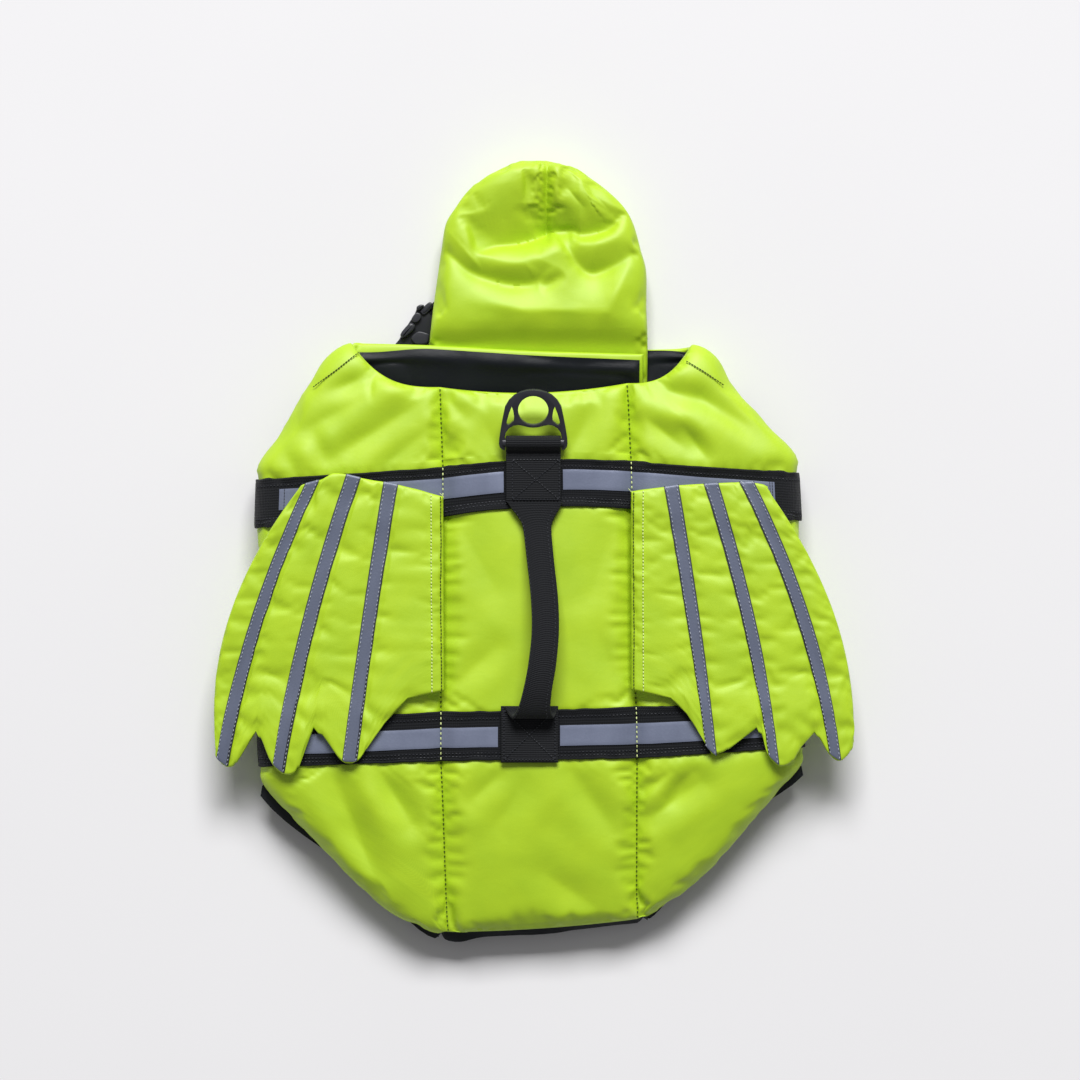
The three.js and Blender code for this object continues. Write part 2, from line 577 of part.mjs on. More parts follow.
belt('belt_upper_right', 'R', BAND_UPPER);
belt('belt_lower_left', 'L', BAND_LOWER);
belt('belt_lower_right', 'R', BAND_LOWER);

// Chest flaps: from the shoulder seam towards the other side, under the neck opening
function chestFlap(name, side, rows) {
  const places = CHEST_ROWS.map((share) => share * (rows.length - 1));
  const ends = places.map((t) => sectionAt(rows, t));
  const grid = ends.map((end) => {
    const row = sectionAt(BACK, end.share * SHOULDER);
    const edge = side === 'L' ? point(row.leftX, row.leftY, 0) : point(row.rightX, row.rightY, 0);
    edge.z = row.edgeZ - (side === 'L' ? 4.4 : 0.6);
    const line = turned(point(end.x, end.y, end.z), edge, side === 'L' ? 1.4 : 5, 1, BELLY_COLUMNS);
    if (side === 'L') line[line.length - 1].z = row.edgeZ - 2;
    return line;
  });
  const normals = normalsOf(grid).map((row) => row.map((n) => (side === 'L' ? n.negate() : n)));
  const borders = padding(grid, 1, { first: 9, last: 9, left: 9, right: 9 }, 0);
  const edgePad = Math.min(SEWN_EDGE, 3);
  const thick = borders.map((row, i) => row.map((share) => mix(edgePad, ends[i].pad, share)));
  const upper = moved(grid, normals, (i, j) => thick[i][j] / 2);
  const lower = moved(grid, normals, (i, j) => -thick[i][j] / 2);
  add(`${name}_flap`, closedSheet(upper, lower), LIME);
  const inset = (part) => part.slice(1, -1).map((row) => row.slice(1, -2));
  const face = moved(inset(upper), inset(normals), GAP);
  add(`${name}_lining`, closedSheet(moved(face, inset(normals), LINING), face), BLACK_LINING);
}
chestFlap('chest_left', 'L', CHEST_LEFT);
chestFlap('chest_right', 'R', CHEST_RIGHT);

// Chin float: one thick cushion, creased on top
function chinFloat() {
  const places = [];
  for (let k = 0; k < FLOAT.length - 1; k++) {
    places.push(k, k + 0.5);
  }
  places.push(FLOAT.length - 1.15, FLOAT.length - 1);
  const rows = places.map((t) => sectionAt(FLOAT, t));
  const grid = rows.map((row) => FLOAT_COLUMNS
    .map((share) => point(mix(row.left, row.right, share), row.y, row.mid)));
  const borders = padding(grid, 1, { first: 12, last: 14, left: 25, right: 25 }, 0);
  const thick = borders.map((row, i) => row.map((share) => mix(SEWN_EDGE, rows[i].pad, share)));
  const upper = grid.map((row, i) => row.map((p, j) => {
    const depth = creased(FLOAT_CREASES, p) * clamp01((thick[i][j] - SEWN_EDGE) / 14);
    return point(p.x, p.y, p.z + thick[i][j] / 2 - depth);
  }));
  const lower = grid.map((row, i) => row.map(
    (p, j) => point(p.x, p.y, Math.max(0, p.z - thick[i][j] / 2)),
  ));
  add('chin_float', closedSheet(upper, lower), LIME);
}
chinFloat();

// Height that clears the grids around a point of the plan
function clearOf(grids, x, y, dx, dy) {
  const steps = [-1, 0, 1];
  const heights = steps.flatMap((a) => steps.map((b) => heightOver(grids, x + a * dx, y + b * dy)));
  return Math.max(...heights);
}
const backTop = [backLeft.outer, backCentre.outer, backRight.outer];

// Wings: lines from the top edge to the scalloped end, laid over the side panels and the bands
function wing(name, side, lines, under) {
  const sign = side === 'L' ? -1 : 1;
  const plan = WING_ROWS.map((f) => lines.map((line) => point(
    mix(line.topX, line.endX, f) - line.bow * 4 * f * (1 - f),
    mix(line.topY, line.endY, f),
    0,
  )));
  const mid = plan.map((row) => row.map((p) => {
    const reach = Math.min(Math.abs(p.x), WING_REACH);
    const over = Math.abs(p.x) - reach;
    const crest = clearOf(under, sign * reach, p.y, 8, 10);
    const near = clearOf(under, p.x, p.y, 8, 10);
    const height = Math.max(near, over > 0 ? crest - WING_DROOP * over * over : -Infinity);
    return point(p.x, p.y, height + GAP + 0.3 + WING_PAD / 2);
  }));
  const normals = normalsOf(mid).map((row) => row.map((n) => (side === 'L' ? n : n.negate())));
  const thick = padding(mid, WING_PAD, { first: 6, last: 6, left: 6, right: 6 }, 2.4);
  const outer = moved(mid, normals, (i, j) => thick[i][j] / 2);
  const inner = moved(mid, normals, (i, j) => -thick[i][j] / 2);
  add(name, closedSheet(outer, inner), LIME);
  lines.forEach((line, k) => {
    if (!line.tape) return;
    const two = (grid) => grid.map((row) => row.slice(k, k + 2));
    add(`${name}_tape_${Math.round(k / 4)}`, webbingOn(two(outer), two(normals), GAP, TAPE), GREY_TAPE);
  });
}
const underWings = [...backTop, bandUpper, bandLower, ...tapeTops];
wing('wing_left', 'L', WING_LEFT, underWings);
wing('wing_right', 'R', WING_RIGHT, underWings);

// A sheet of even thickness around a grid of points
function sheetAround(grid, thickness) {
  const normals = normalsOf(grid);
  return closedSheet(moved(grid, normals, thickness / 2), moved(grid, normals, -thickness / 2));
}

// A webbing strip along a middle line, with its own widths
function webbingStrip(name, path, thickness, shares = [0, 0.5, 1]) {
  const grid = path.map((p) => shares.map((share) => point(p.x + (share - 0.5) * p.width, p.y, p.z)));
  add(name, sheetAround(grid, thickness), BLACK_WEBBING);
}
function ringLoop() {
  const path = [];
  const place = (y, z) => path.push({ x: LOOP.middle, y, z, width: LOOP.width });
  const top = LOOP.foot + WEBBING + GAP;
  [LOOP.rear, RING.barY - 9].forEach((y) => place(y, LOOP.foot));
  for (let a = -90; a <= LOOP.leave; a += 25.5) {
    const turn = THREE.MathUtils.degToRad(a);
    place(RING.barY + LOOP.turnRadius * Math.cos(turn), RING.barZ + LOOP.turnRadius * Math.sin(turn));
  }
  [[-4.7, 1.7], [-5.9, 0.6], [-8, 0.1], [-11, 0]].forEach(([dy, dz]) => place(RING.barY + dy, top + dz));
  place(LOOP.rear, top);
  webbingStrip('ring_loop', path, WEBBING, [0, 1]);
}
ringLoop();
const handlePath = [];
HANDLE.forEach((row, i) => {
  handlePath.push(row);
  if (i < HANDLE.length - 1) handlePath.push(sectionAt(HANDLE, i + 0.5));
});
webbingStrip('handle', handlePath, HANDLE_PAD);

// The rear patch lies on the lower band.
const patchXs = [0, 0.33, 0.67, 1].map((f) => mix(REAR_PATCH.x0, REAR_PATCH.x1, f));
const patchYs = [0, 0.25, 0.5, 0.75, 1].map((f) => mix(REAR_PATCH.y0, REAR_PATCH.y1, f));
const patch = patchYs.map((y) => patchXs.map(
  (x) => point(x, y, clearOf([bandLower], x, y, 5, 4) + GAP + 0.1),
));
add('rear_patch', webbingOn(patch, normalsOf(patch), 0, WEBBING), BLACK_WEBBING);

// Solid pieces are cut and joined as manifold bodies.
function solid(geometry) {
  const merged = mergeVertices(geometry.clone().deleteAttribute('normal').deleteAttribute('uv'), 1e-4);
  return new wasm.Manifold(new wasm.Mesh({
    numProp: 3,
    vertProperties: merged.getAttribute('position').array,
    triVerts: new Uint32Array(merged.index.array),
  }));
}
function geometryOf(manifold) {
  const mesh = manifold.getMesh();
  const geometry = new THREE.BufferGeometry();
  geometry.setAttribute('position', new THREE.BufferAttribute(new Float32Array(mesh.vertProperties), 3));
  geometry.setIndex(new THREE.BufferAttribute(new Uint32Array(mesh.triVerts), 1));
  geometry.computeVertexNormals();
  return geometry;
}
const block = (x0, x1, y0, y1, z0, z1) => {
  const box = new THREE.BoxGeometry(x1 - x0, y1 - y0, z1 - z0);
  return solid(box.translate((x0 + x1) / 2, (y0 + y1) / 2, (z0 + z1) / 2));
};

// Lead ring
function leadRing() {
  const half = (rows) => rows.map((p) => new THREE.Vector2(p.u, p.v));
  const mirror = (points) => points.map((p) => new THREE.Vector2(-p.x, p.y));
  const outer = half(RING_OUTER);
  const arch = half(RING_ARCH);
  const outline = [
    ...outer,
    ...mirror(outer).slice(0, -1).reverse(),
    ...mirror(arch),
    ...arch.slice(0, -1).reverse(),
  ];
  const shape = new THREE.Shape(outline);
  const eye = new THREE.Path();
  eye.absarc(0, RING.eyeAt, RING.eyeRadius, 0, Math.PI * 2, true);
  const windows = [half(RING_WINDOW), mirror(half(RING_WINDOW))].map((points) => new THREE.Path(points));
  shape.holes = [eye, ...windows];
  const plate = new THREE.ExtrudeGeometry(shape, {
    depth: RING.plate,
    bevelEnabled: false,
    curveSegments: 16,
  });
  plate.translate(0, 0, -RING.plate / 2);
  const bar = new THREE.CylinderGeometry(RING.barRadius, RING.barRadius, 44, 16);
  bar.rotateZ(Math.PI / 2);
  const ring = geometryOf(solid(plate).add(solid(bar)));
  ring.rotateX(THREE.MathUtils.degToRad(RING.tilt));
  ring.translate(RING.x, RING.barY, RING.barZ);
  add('d_ring', ring, BLACK_PLASTIC);
}
leadRing();

// Belly buckles: a socket on the left belt and a plug with two arms and a tongue on the right one
function bellyBuckle(name, y) {
  const { reach, split, width, height, barAt } = BUCKLE;
  const w = width / 2;
  const socket = block(-reach, split, y - w, y + w, 0, height)
    .subtract(block(-reach - 1, -barAt, y - w + 2, y + w - 2, -1, WEBBING + GAP))
    .subtract(block(-barAt - 3.5, -barAt, y - w + 2, y + w - 2, -1, height + 1))
    .subtract(block(-17, split + 1, y - w + 5, y + w - 5, 2.2, height - 2.2))
    .subtract(block(-13, -4, y - w - 1, y - w + 6, 2.2, height - 2.2))
    .subtract(block(-13, -4, y + w - 6, y + w + 1, 2.2, height - 2.2));
  const plug = block(split + GAP, reach, y - w + 2, y + w - 2, 0, height)
    .subtract(block(barAt, reach + 1, y - w + 4, y + w - 4, -1, WEBBING + GAP))
    .subtract(block(barAt, barAt + 3.5, y - w + 4, y + w - 4, -1, height + 1))
    .add(block(-12, split + 1, y - w + 5.5, y - w + 9.5, 2.7, height - 2.7))
    .add(block(-12, split + 1, y + w - 9.5, y + w - 5.5, 2.7, height - 2.7))
    .add(block(-12, -5, y - w + 2, y - w + 6, 2.7, height - 2.7))
    .add(block(-12, -5, y + w - 6, y + w - 2, 2.7, height - 2.7))
    .add(block(-15, split + 1, y - 3, y + 3, 2.7, height - 2.7));
  add(`${name}_socket`, geometryOf(socket), BLACK_PLASTIC);
  add(`${name}_plug`, geometryOf(plug), BLACK_PLASTIC);
}
const beltEdge = (section) => sectionAt(BELLY, section - FRONT_OF_SIDE).leftEndY;
const middleOf = ([a, b]) => (beltEdge(a) + beltEdge(b)) / 2;
bellyBuckle('buckle_upper', middleOf(BAND_UPPER));
bellyBuckle('buckle_lower', middleOf(BAND_LOWER));

// Neck buckle and its straps, flat under the edge of the chin float
function neckFastening() {
  const { x, y, length, width, height, turn } = NECK_BUCKLE;
  const place = (geometry) => geometry.rotateZ(THREE.MathUtils.degToRad(turn)).translate(x, y, 0);
  const body = block(-length / 2, length / 2, -width / 2, width / 2, 0, height)
    .subtract(block(-length / 2 + 4, -length / 2 + 8, -width / 2 + 2, width / 2 - 2, -1, height + 1))
    .subtract(block(-3, 7, -width / 2 - 1, -width / 2 + 2.5, 1.8, height - 1.8))
    .subtract(block(-3, 7, width / 2 - 2.5, width / 2 + 1, 1.8, height - 1.8));
  add('neck_buckle', place(geometryOf(body)), BLACK_PLASTIC);
  for (const [name, path] of [['neck_strap_front', NECK_FRONT], ['neck_strap_rear', NECK_REAR]]) {
    const grid = path.map((p) => [-0.5, 0, 0.5].map((share) => point(p.along, share * NECK_STRAP, p.z)));
    add(name, place(sheetAround(grid, WEBBING)), BLACK_WEBBING);
  }
}
neckFastening();

// The jacket stands on its lowest face, centred over its origin.
const whole = new THREE.Box3().setFromObject(jacket, true);
const middle = whole.getCenter(new THREE.Vector3());
jacket.position.set(-middle.x, -middle.y, -whole.min.z);

export default jacket;
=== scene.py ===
"""A dog's life jacket, buckled shut and lying on its belly, seen from straight above.

Sizes in the tables are millimetres in the jacket's own frame: +Y to the neck, +Z up.
"""
import math

import bmesh
import bpy
import numpy as np
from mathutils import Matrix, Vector


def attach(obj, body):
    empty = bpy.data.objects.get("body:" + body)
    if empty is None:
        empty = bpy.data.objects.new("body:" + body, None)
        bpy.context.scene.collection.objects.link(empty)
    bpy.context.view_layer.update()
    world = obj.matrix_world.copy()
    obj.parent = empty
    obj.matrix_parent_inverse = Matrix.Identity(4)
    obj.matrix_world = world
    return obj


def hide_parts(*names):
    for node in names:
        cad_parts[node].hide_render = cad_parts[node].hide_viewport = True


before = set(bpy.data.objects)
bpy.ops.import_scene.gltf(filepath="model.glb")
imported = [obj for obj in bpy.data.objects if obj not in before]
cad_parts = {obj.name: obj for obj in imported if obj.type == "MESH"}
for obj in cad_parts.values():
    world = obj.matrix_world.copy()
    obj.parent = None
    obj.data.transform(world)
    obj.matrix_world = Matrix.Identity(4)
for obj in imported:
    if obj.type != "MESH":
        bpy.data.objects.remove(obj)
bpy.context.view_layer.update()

MM = 0.001
SHIFT = np.array([1.0607, -1.0293, 0.0])  # from the tables' origin to the frame's
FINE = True
STEP = 2.0 if FINE else 3.6  # spacing of the cloth's points
FLOAT_STEP = 1.2 if FINE else 3.0
PAD = 14  # thickness of the back with its foam
BELLY_PAD = 11
WING_PAD = 4.2
SEWN_EDGE = 3.6  # thickness where padded cloth is sewn flat
LINING = 1.2
WEBBING = 1.8
TAPE = 0.7
GAP = 0.3  # space between pieces that touch


def table(names, rows):
    """A dictionary of columns from rows of numbers."""
    columns = np.array(rows, float).T
    return dict(zip(names.split(), columns))


# Sections across the back from the neck edge to the rear hem
BACK = table("leftX leftY seamLX seamLY sag seamRX seamRY rightX rightY crown seamZ edgeZ bend", [
    [-131.4, 148.9, -68.8, 118.7, -5.5, 65.9, 121.5, 111.2, 147.5, 37, 36, 23, 3.0],
    [-148.0, 137.4, -68.4, 109.3, -4.0, 66.6, 110.7, 127.1, 138.1, 37.5, 36.5, 22, 2.2],
    [-163.8, 115.1, -68.0, 94.9, -1.5, 67.3, 96.3, 142.2, 115.1, 38, 37, 20, 1.4],
    [-181.1, 85.5, -67.3, 78.3, 1.0, 68.0, 80.5, 165.2, 89.9, 38, 37, 19, 1.2],
    [-196.2, 61.1, -67.0, 66.8, 3.0, 68.4, 71.1, 184.0, 67.5, 38, 37, 20, 1],
    [-195.8, 52.8, -66.6, 61.1, 3.5, 68.8, 65.4, 184.2, 57.5, 38, 37, 20, 1],
    [-196.9, 17.1, -66.6, 25.1, 3.5, 69.5, 30.8, 186.1, 22.2, 38, 37, 20, 1],
    [-196.9, -5.9, -67.3, -5.9, 2.0, 69.5, -5.9, 187.6, -5.9, 38.5, 37.5, 20, 1],
    [-196.2, -63.5, -68.0, -63.5, 0, 69.8, -63.5, 188.3, -63.5, 38.5, 37.5, 20, 1],
    [-195.5, -120.4, -68.0, -114.6, 0, 72.4, -111.0, 188.3, -106.7, 38, 37, 20, 1],
    [-194.0, -154.9, -68.0, -150.6, 0, 73.1, -148.5, 188.3, -141.3, 37, 36, 20, 1],
    [-192.6, -166.5, -67.3, -167.9, 0, 73.1, -165.7, 187.6, -152.8, 36, 35, 20, 1],
    [-174.6, -188.8, -66.6, -187.3, 0, 73.1, -184.5, 172.4, -172.2, 34, 33.5, 20, 1],
    [-153.7, -211.1, -65.9, -208.9, 0, 73.1, -206.1, 153.0, -195.3, 31.5, 31, 20, 1],
    [-129.2, -237.0, -65.2, -232.0, -0.5, 73.1, -226.2, 130.7, -221.2, 28.5, 28, 20, 1],
    [-103.3, -258.6, -64.4, -253.6, -1, 73.1, -244.9, 106.2, -243.5, 25.5, 25, 19.5, 1],
    [-79.6, -270.1, -63.7, -268.0, -1.5, 73.8, -257.9, 86.0, -257.2, 23, 22.5, 19, 1],
    [-68.8, -274.5, -63.0, -275.2, -2.0, 73.8, -265.8, 78.8, -262.9, 21.5, 21, 19, 1],
])
LAST = len(BACK["leftX"]) - 1
FRONT_OF_SIDE, REAR_OF_SIDE = 4, 11
BAND_UPPER = (5, 6)
BAND_LOWER = (9, 10)
TAPE_EDGES = (0.30, 0.66)
SHOULDER = 2
BELLY = table("leftEndX leftEndY rightEndX rightEndY", [
    [-34, 42, 34, 44],
    [-34, 34, 34, 34],
    [-34, 2, 34, 2],
    [-34, -22, 34, -22],
    [-34, -78, 34, -76],
    [-34, -128, 34, -128],
    [-34, -162, 34, -162],
    [-34, -206, 34, -202],
])
BELT_CLEAR, BELLY_REAR, BELT_LEVEL, LIP = 2.1, 3, 70, 7
CHEST_LEFT = table("share x y z pad", [
    [0, 78, 143, 26.8, 7],
    [0.25, 78, 131, 25.0, 7],
    [0.5, 78, 119, 21.6, 7],
    [0.75, 77, 105.5, 18.6, 7],
    [1, 74, 92, 14, 7],
])
CHEST_RIGHT = table("share x y z pad", [
    [0, -34, 146, 2.7, 5],
    [0.25, -34, 133, 2.7, 5],
    [0.5, -34, 120, 2.7, 5],
    [0.75, -34, 108, 2.7, 5],
    [1, -34, 96, 2.7, 5],
])
FLOAT = table("y left right mid pad", [
    [120, -76, 81, 11.4, 5.4],
    [134, -77, 81.3, 13.2, 8],
    [149, -77.2, 81.4, 14.3, 14],
    [163, -75.8, 81, 18, 22],
    [177, -74.2, 80.4, 16.5, 29],
    [203, -70.6, 80.3, 15.5, 31],
    [219, -68.3, 76.3, 15.5, 31],
    [237, -65.2, 71.3, 15.5, 31],
    [249, -58, 64.9, 15.5, 31],
    [260, -49.8, 54.4, 15.5, 31],
    [270.5, -38.2, 40.7, 15.5, 31],
    [278.5, -23.5, 27, 15.5, 31],
    [283.7, -11, 8, 15.5, 31],
])
# Creases in the cloth: a line, a half width and a depth (below zero for a ridge)
CREASE = "x0 y0 x1 y1 width depth"
BACK_CREASES = table(CREASE, [
    [-143, 70, -84, 106, 11, 2.6],
    [-180, 80, -119, 111, 9, 2.4],
    [-110, 62, -82, 84, 9, 2.0],
    [83, 118, 121, 109, 9, 3.0],
    [121, 109, 160, 86, 9, 3.0],
    [82, 94, 108, 74, 8, 2.2],
    [108, 87, 122, 69, 6, 2.0],
    [-154, 113, -116, 128, 9, 3.4],
    [-184, 74, -172, 60, 6, 1.6],
    [-158, 82, -151, 66, 6, 1.4],
    [-63, 112, -52, 96, 6, 1.6],
    [-62, 70, -55, 84, 5, 1.4],
    [44, 106, 26, 74, 9, 1.8],
    [-40, 98, -20, 62, 10, 1.4],
    [-147, -156, -117, -232, 12, 3.4],
    [-113, -157, -90, -194, 9, 2.6],
    [84, -190, 118, -166, 9, 2.4],
    [80, -172, 96, -158, 6, 1.6],
    [112, -158, 96, -176, 6, 1.4],
    [-45, -178, -22, -156, 9, 1.8],
    [-28, -196, -4, -158, 11, 1.4],
    [26, -158, 55, -199, 10, 1.8],
    [8, -232, 44, -256, 11, 1.4],
    [-60, -276, -62, -248, 5, 2.4],
    [73, -250, 84, -264, 4, 2.4],
    [-58, 26, -30, -24, 14, 1.3],
    [58, 22, 40, -30, 14, 1.3],
    [-58, -96, -30, -70, 9, 1.3],
    [60, -100, 46, -60, 10, 1.2],
])
# Folds of the float: how far the cloth slopes down to the line from above, how far it rises
# again below, and the line's points x y depth
FLOAT_FOLDS = (
    (42, 15, [[-47, 213.5, 0], [-43.4, 215.7, 3], [-29, 221.5, 9.5], [-13, 223.5, 13.5], [0.5, 227, 17],
              [8.2, 230.5, 18], [16, 232.5, 12], [24, 233, 6], [32, 233, 0]]),
    (28, 9, [[12, 231, 0], [22, 232, 6], [41, 231, 9], [52, 234, 8.5], [58.6, 241, 4], [62, 247, 0]]),
    (19, 19, [[14, 230.5, 0], [23.5, 221, 4], [30, 209, 6.5], [39.7, 201.5, 8], [49, 203.5, 7.5],
              [61, 209.6, 5.5], [73, 218, 0]]),
    (14, 19, [[-68, 218, 0], [-62, 214.9, 4], [-49.5, 203.5, 6.5], [-36, 197.4, 7.5], [-18.4, 192.9, 7.5],
              [-1, 194, 6], [6, 202, 2.5], [9, 208, 0]]),
    (6, 5, [[3, 190.5, 0], [8, 192.5, 2.5], [16, 197, 2.5], [21, 201, 0]]),
    (20, 4, [[-46.5, 244, 0], [-45, 235, 2.2], [-43, 224, 3], [-44, 215, 0]]),
    (16, 3, [[-6.8, 276, 0], [-6.2, 270, 2.4], [-6.4, 262, 2.4], [-7, 252, 0]]),
)
FLOAT_CREASES = table(CREASE, [
    [8.6, 286, 8.0, 230, 4.5, 5.5],
    [24, 263, 34, 250, 5, 2.2],
    [38, 262, 54, 246, 5, 2.0],
    [-33, 180, -10, 175, 9, -2.0],
    [-10, 175, 50, 174, 9, -2.2],
    [52, 174, 66, 204, 7, -2.0],
])
# Dark lines of stitches at the shoulders, across the plan
SHOULDER_SEAMS = ([(-127.0, 144.0), (-142.5, 131.5), (-160.5, 118.5)],
                  [(108.4, 137.4), (121.0, 129.8), (135.7, 120.0)])
# How far black cloth shows outside the side hems: section, millimetres on the left and on the right
LIP_SIDE = table("section left right", [
    [0, 0, 0], [10.8, 0, 0], [11.15, 11.5, 10.5], [11.6, 11.0, 8.5], [12.0, 9.5, 5.5], [12.6, 6.5, 0],
    [13.3, 2.0, 0], [13.6, 0, 0], [15.2, 0, 0], [15.8, 5.5, 4.0], [16.4, 7.5, 5.6], [16.8, 7.0, 5.0],
    [17, 4.5, 3.6],
])
# Wing lines from the top edge to the scalloped end, from the outer edge to the root
WING_LEFT = table("topX topY endX endY bow tape", [
    [-168.1, 47.7, -229.3, -148.0, 23, 0],
    [-165.6, 48.8, -228.2, -150.6, 9.5, 1],
    [-154.4, 51.7, -222.1, -155.0, 7, 0],
    [-150.1, 53.9, -214.9, -151.7, 7, 0],
    [-145.1, 56.4, -201.2, -129.4, 6.5, 0],
    [-136.1, 55.7, -189.7, -151.7, 5.5, 1],
    [-125.3, 53.1, -179.3, -160.0, 4.5, 0],
    [-122.0, 52.4, -169.6, -154.2, 4, 0],
    [-116.3, 51.3, -159.3, -126.4, 3, 0],
    [-109.4, 50.3, -139.3, -149.9, 1.5, 1],
    [-98.3, 48.1, -128.5, -150.3, 0.7, 0],
    [-92.5, 46.7, -121.0, -141.3, 0.3, 0],
    [-83.2, 44.5, -108.4, -123.3, 0, 0],
    [-76.0, 42.3, -91.8, -105.3, 0, 0],
    [-66.2, 39.7, -65.6, -99.9, 0, 0],
])
WING_RIGHT = table("topX topY endX endY bow tape", [
    [164.5, 47.4, 229.3, -136.2, -18, 0],
    [163.3, 48.5, 227.9, -142.7, -9, 0],
    [152.7, 50.3, 219.6, -150.6, -9.5, 1],
    [150.5, 50.3, 211.3, -145.6, -9, 0],
    [148.0, 50.3, 200.7, -130.0, -8, 0],
    [143.7, 49.9, 191.2, -140.2, -7, 0],
    [139.0, 49.8, 185.4, -150.3, -5.5, 0],
    [127.8, 49.2, 175.7, -153.9, -5, 1],
    [124.2, 49.0, 167.0, -146.0, -4.5, 0],
    [119.2, 48.8, 158.8, -126.4, -4, 0],
    [110.2, 48.3, 139.3, -141.3, -2.5, 0],
    [99.4, 47.6, 128.2, -144.9, -1.5, 1],
    [95.4, 47.0, 124.2, -141.3, -1, 0],
    [83.9, 45.6, 108.4, -116.1, 0, 0],
    [75.2, 44.5, 97.1, -105.1, 0, 0],
    [68.5, 43.3, 68.8, -99.2, 0, 0],
])
# Where the wing's end is cut in, with short pulls in the cloth
NOTCHES = {
    "L": ((4, 8, 12), (-201.2, -159.3, -108.4), (-129.4, -126.4, -123.3)),
    "R": ((4, 9), (200.7, 158.8), (-130.0, -126.4)),
}
WING_DROOP, WING_REACH = 0.0018, 140
HANDLE = table("x y z width", [
    [-0.4, 35.7, 50.9, 40],
    [0.0, 30.5, 51.0, 34],
    [0.6, 24.5, 51.4, 26],
    [1.2, 17.0, 52.4, 20.5],
    [3.4, -5.0, 57.5, 19.5],
    [6.4, -33.0, 64.0, 19.5],
    [7.0, -57.0, 67.5, 19.5],
    [4.8, -80.0, 69.0, 20],
    [1.6, -98.0, 67.5, 20.5],
    [-0.8, -111.0, 63.5, 23],
    [-1.8, -117.5, 58.5, 29],
    [-2.6, -116.0, 53.9, 34],
    [-3.4, -111.2, 51.1, 38],
])
HANDLE_PAD = 3
LOOP = {"rear": 36, "middle": -1.5, "width": 39.4, "foot": 48.3, "turn": 4.2, "leave": 165}
RING_BAR = (78.3, 52.5)
REAR_PATCH = {"x0": -24.8, "x1": 16.2, "y0": -110.6, "y1": -151.3}


# Numbers, curves and noise

def cubic(values, places, axis=0):
    """Values at fractional places along an axis, on a smooth curve."""
    v = np.moveaxis(values, axis, 0)
    last = len(v) - 1
    i = np.clip(np.floor(places).astype(int), 0, last - 1)
    f = (places - i).reshape(-1, *[1] * (v.ndim - 1))
    a, b = v[np.clip(i - 1, 0, last)], v[i]
    c, d = v[i + 1], v[np.clip(i + 2, 0, last)]
    out = 0.5 * (2 * b + (c - a) * f + (2 * a - 5 * b + 4 * c - d) * f ** 2
                 + (3 * b - a - 3 * c + d) * f ** 3)
    return np.moveaxis(out, 0, axis)


def along(rows, key, t):
    """A smooth curve through a column, at fractional rows t."""
    v = rows[key]
    i = np.clip(np.floor(t).astype(int), 0, len(v) - 2)
    low, high = np.minimum(v[i], v[i + 1]), np.maximum(v[i], v[i + 1])
    return np.clip(cubic(v, t), low - 1.5, high + 1.5)


def curves(rows, t):
    """All columns of a table at fractional rows t."""
    return {key: along(rows, key, t) for key in rows}


def smooth(a, b, v):
    f = np.clip((v - a) / (b - a), 0, 1)
    return f * f * (3 - 2 * f)


def mix(a, b, f):
    return a + (b - a) * f


def unit(vectors):
    return vectors / np.maximum(np.linalg.norm(vectors, axis=-1, keepdims=True), 1e-9)


def noise(x, y, size, seed):
    """Smooth noise from -1 to 1 with lumps of about size."""
    lattice = np.random.RandomState(seed).uniform(-1, 1, (64, 64))
    gx, gy = np.asarray(x) / size, np.asarray(y) / size
    ix, iy = np.floor(gx).astype(int), np.floor(gy).astype(int)
    fx, fy = gx - ix, gy - iy
    fx, fy = fx * fx * (3 - 2 * fx), fy * fy * (3 - 2 * fy)
    at = lambda a, b: lattice[(ix + a) % 64, (iy + b) % 64]
    return mix(mix(at(0, 0), at(1, 0), fx), mix(at(0, 1), at(1, 1), fx), fy)


def spread(length, step=None, edge=(0, 0.35, 0.9, 1.7, 2.8)):
    """Shares of a length, about a step apart, and closer together at both ends."""
    step = step or STEP
    inner = np.linspace(edge[-1], length - edge[-1], max(2, int(length / step)))
    places = [*edge[:-1], *inner, *(length - e for e in reversed(edge[:-1]))]
    return np.array(places) / length


def web_spread(width, step=2.5):
    return spread(width, step, (0, 0.3, 0.8))


def lengths_of(points):
    """Length from the first point of a line to each of its points."""
    return np.concatenate([[0], np.cumsum(np.linalg.norm(np.diff(points, axis=0), axis=1))])


def picked(wanted, known, points):
    """Points at wanted places of a line whose own points lie at known places."""
    return np.stack([np.interp(wanted, known, points[:, k]) for k in range(3)], 1)


def turned(inner, outer, power, bend, shares):
    """Lines that run level from inner points and turn upright at outer points."""
    a = np.sin(np.linspace(0, 1, 65) * math.pi / 2)[None, :]
    bend = np.broadcast_to(bend, (len(inner),))[:, None]
    lines = np.stack([
        mix(inner[:, 0:1], outer[:, 0:1], a),
        mix(inner[:, 1:2], outer[:, 1:2], a ** bend),
        outer[:, 2:3] + (inner[:, 2:3] - outer[:, 2:3]) * np.maximum(0, 1 - a ** power) ** (1 / power),
    ], axis=2)
    lengths = [lengths_of(line) for line in lines]
    return np.stack([picked(shares * length[-1], length, line) for length, line in zip(lengths, lines)])


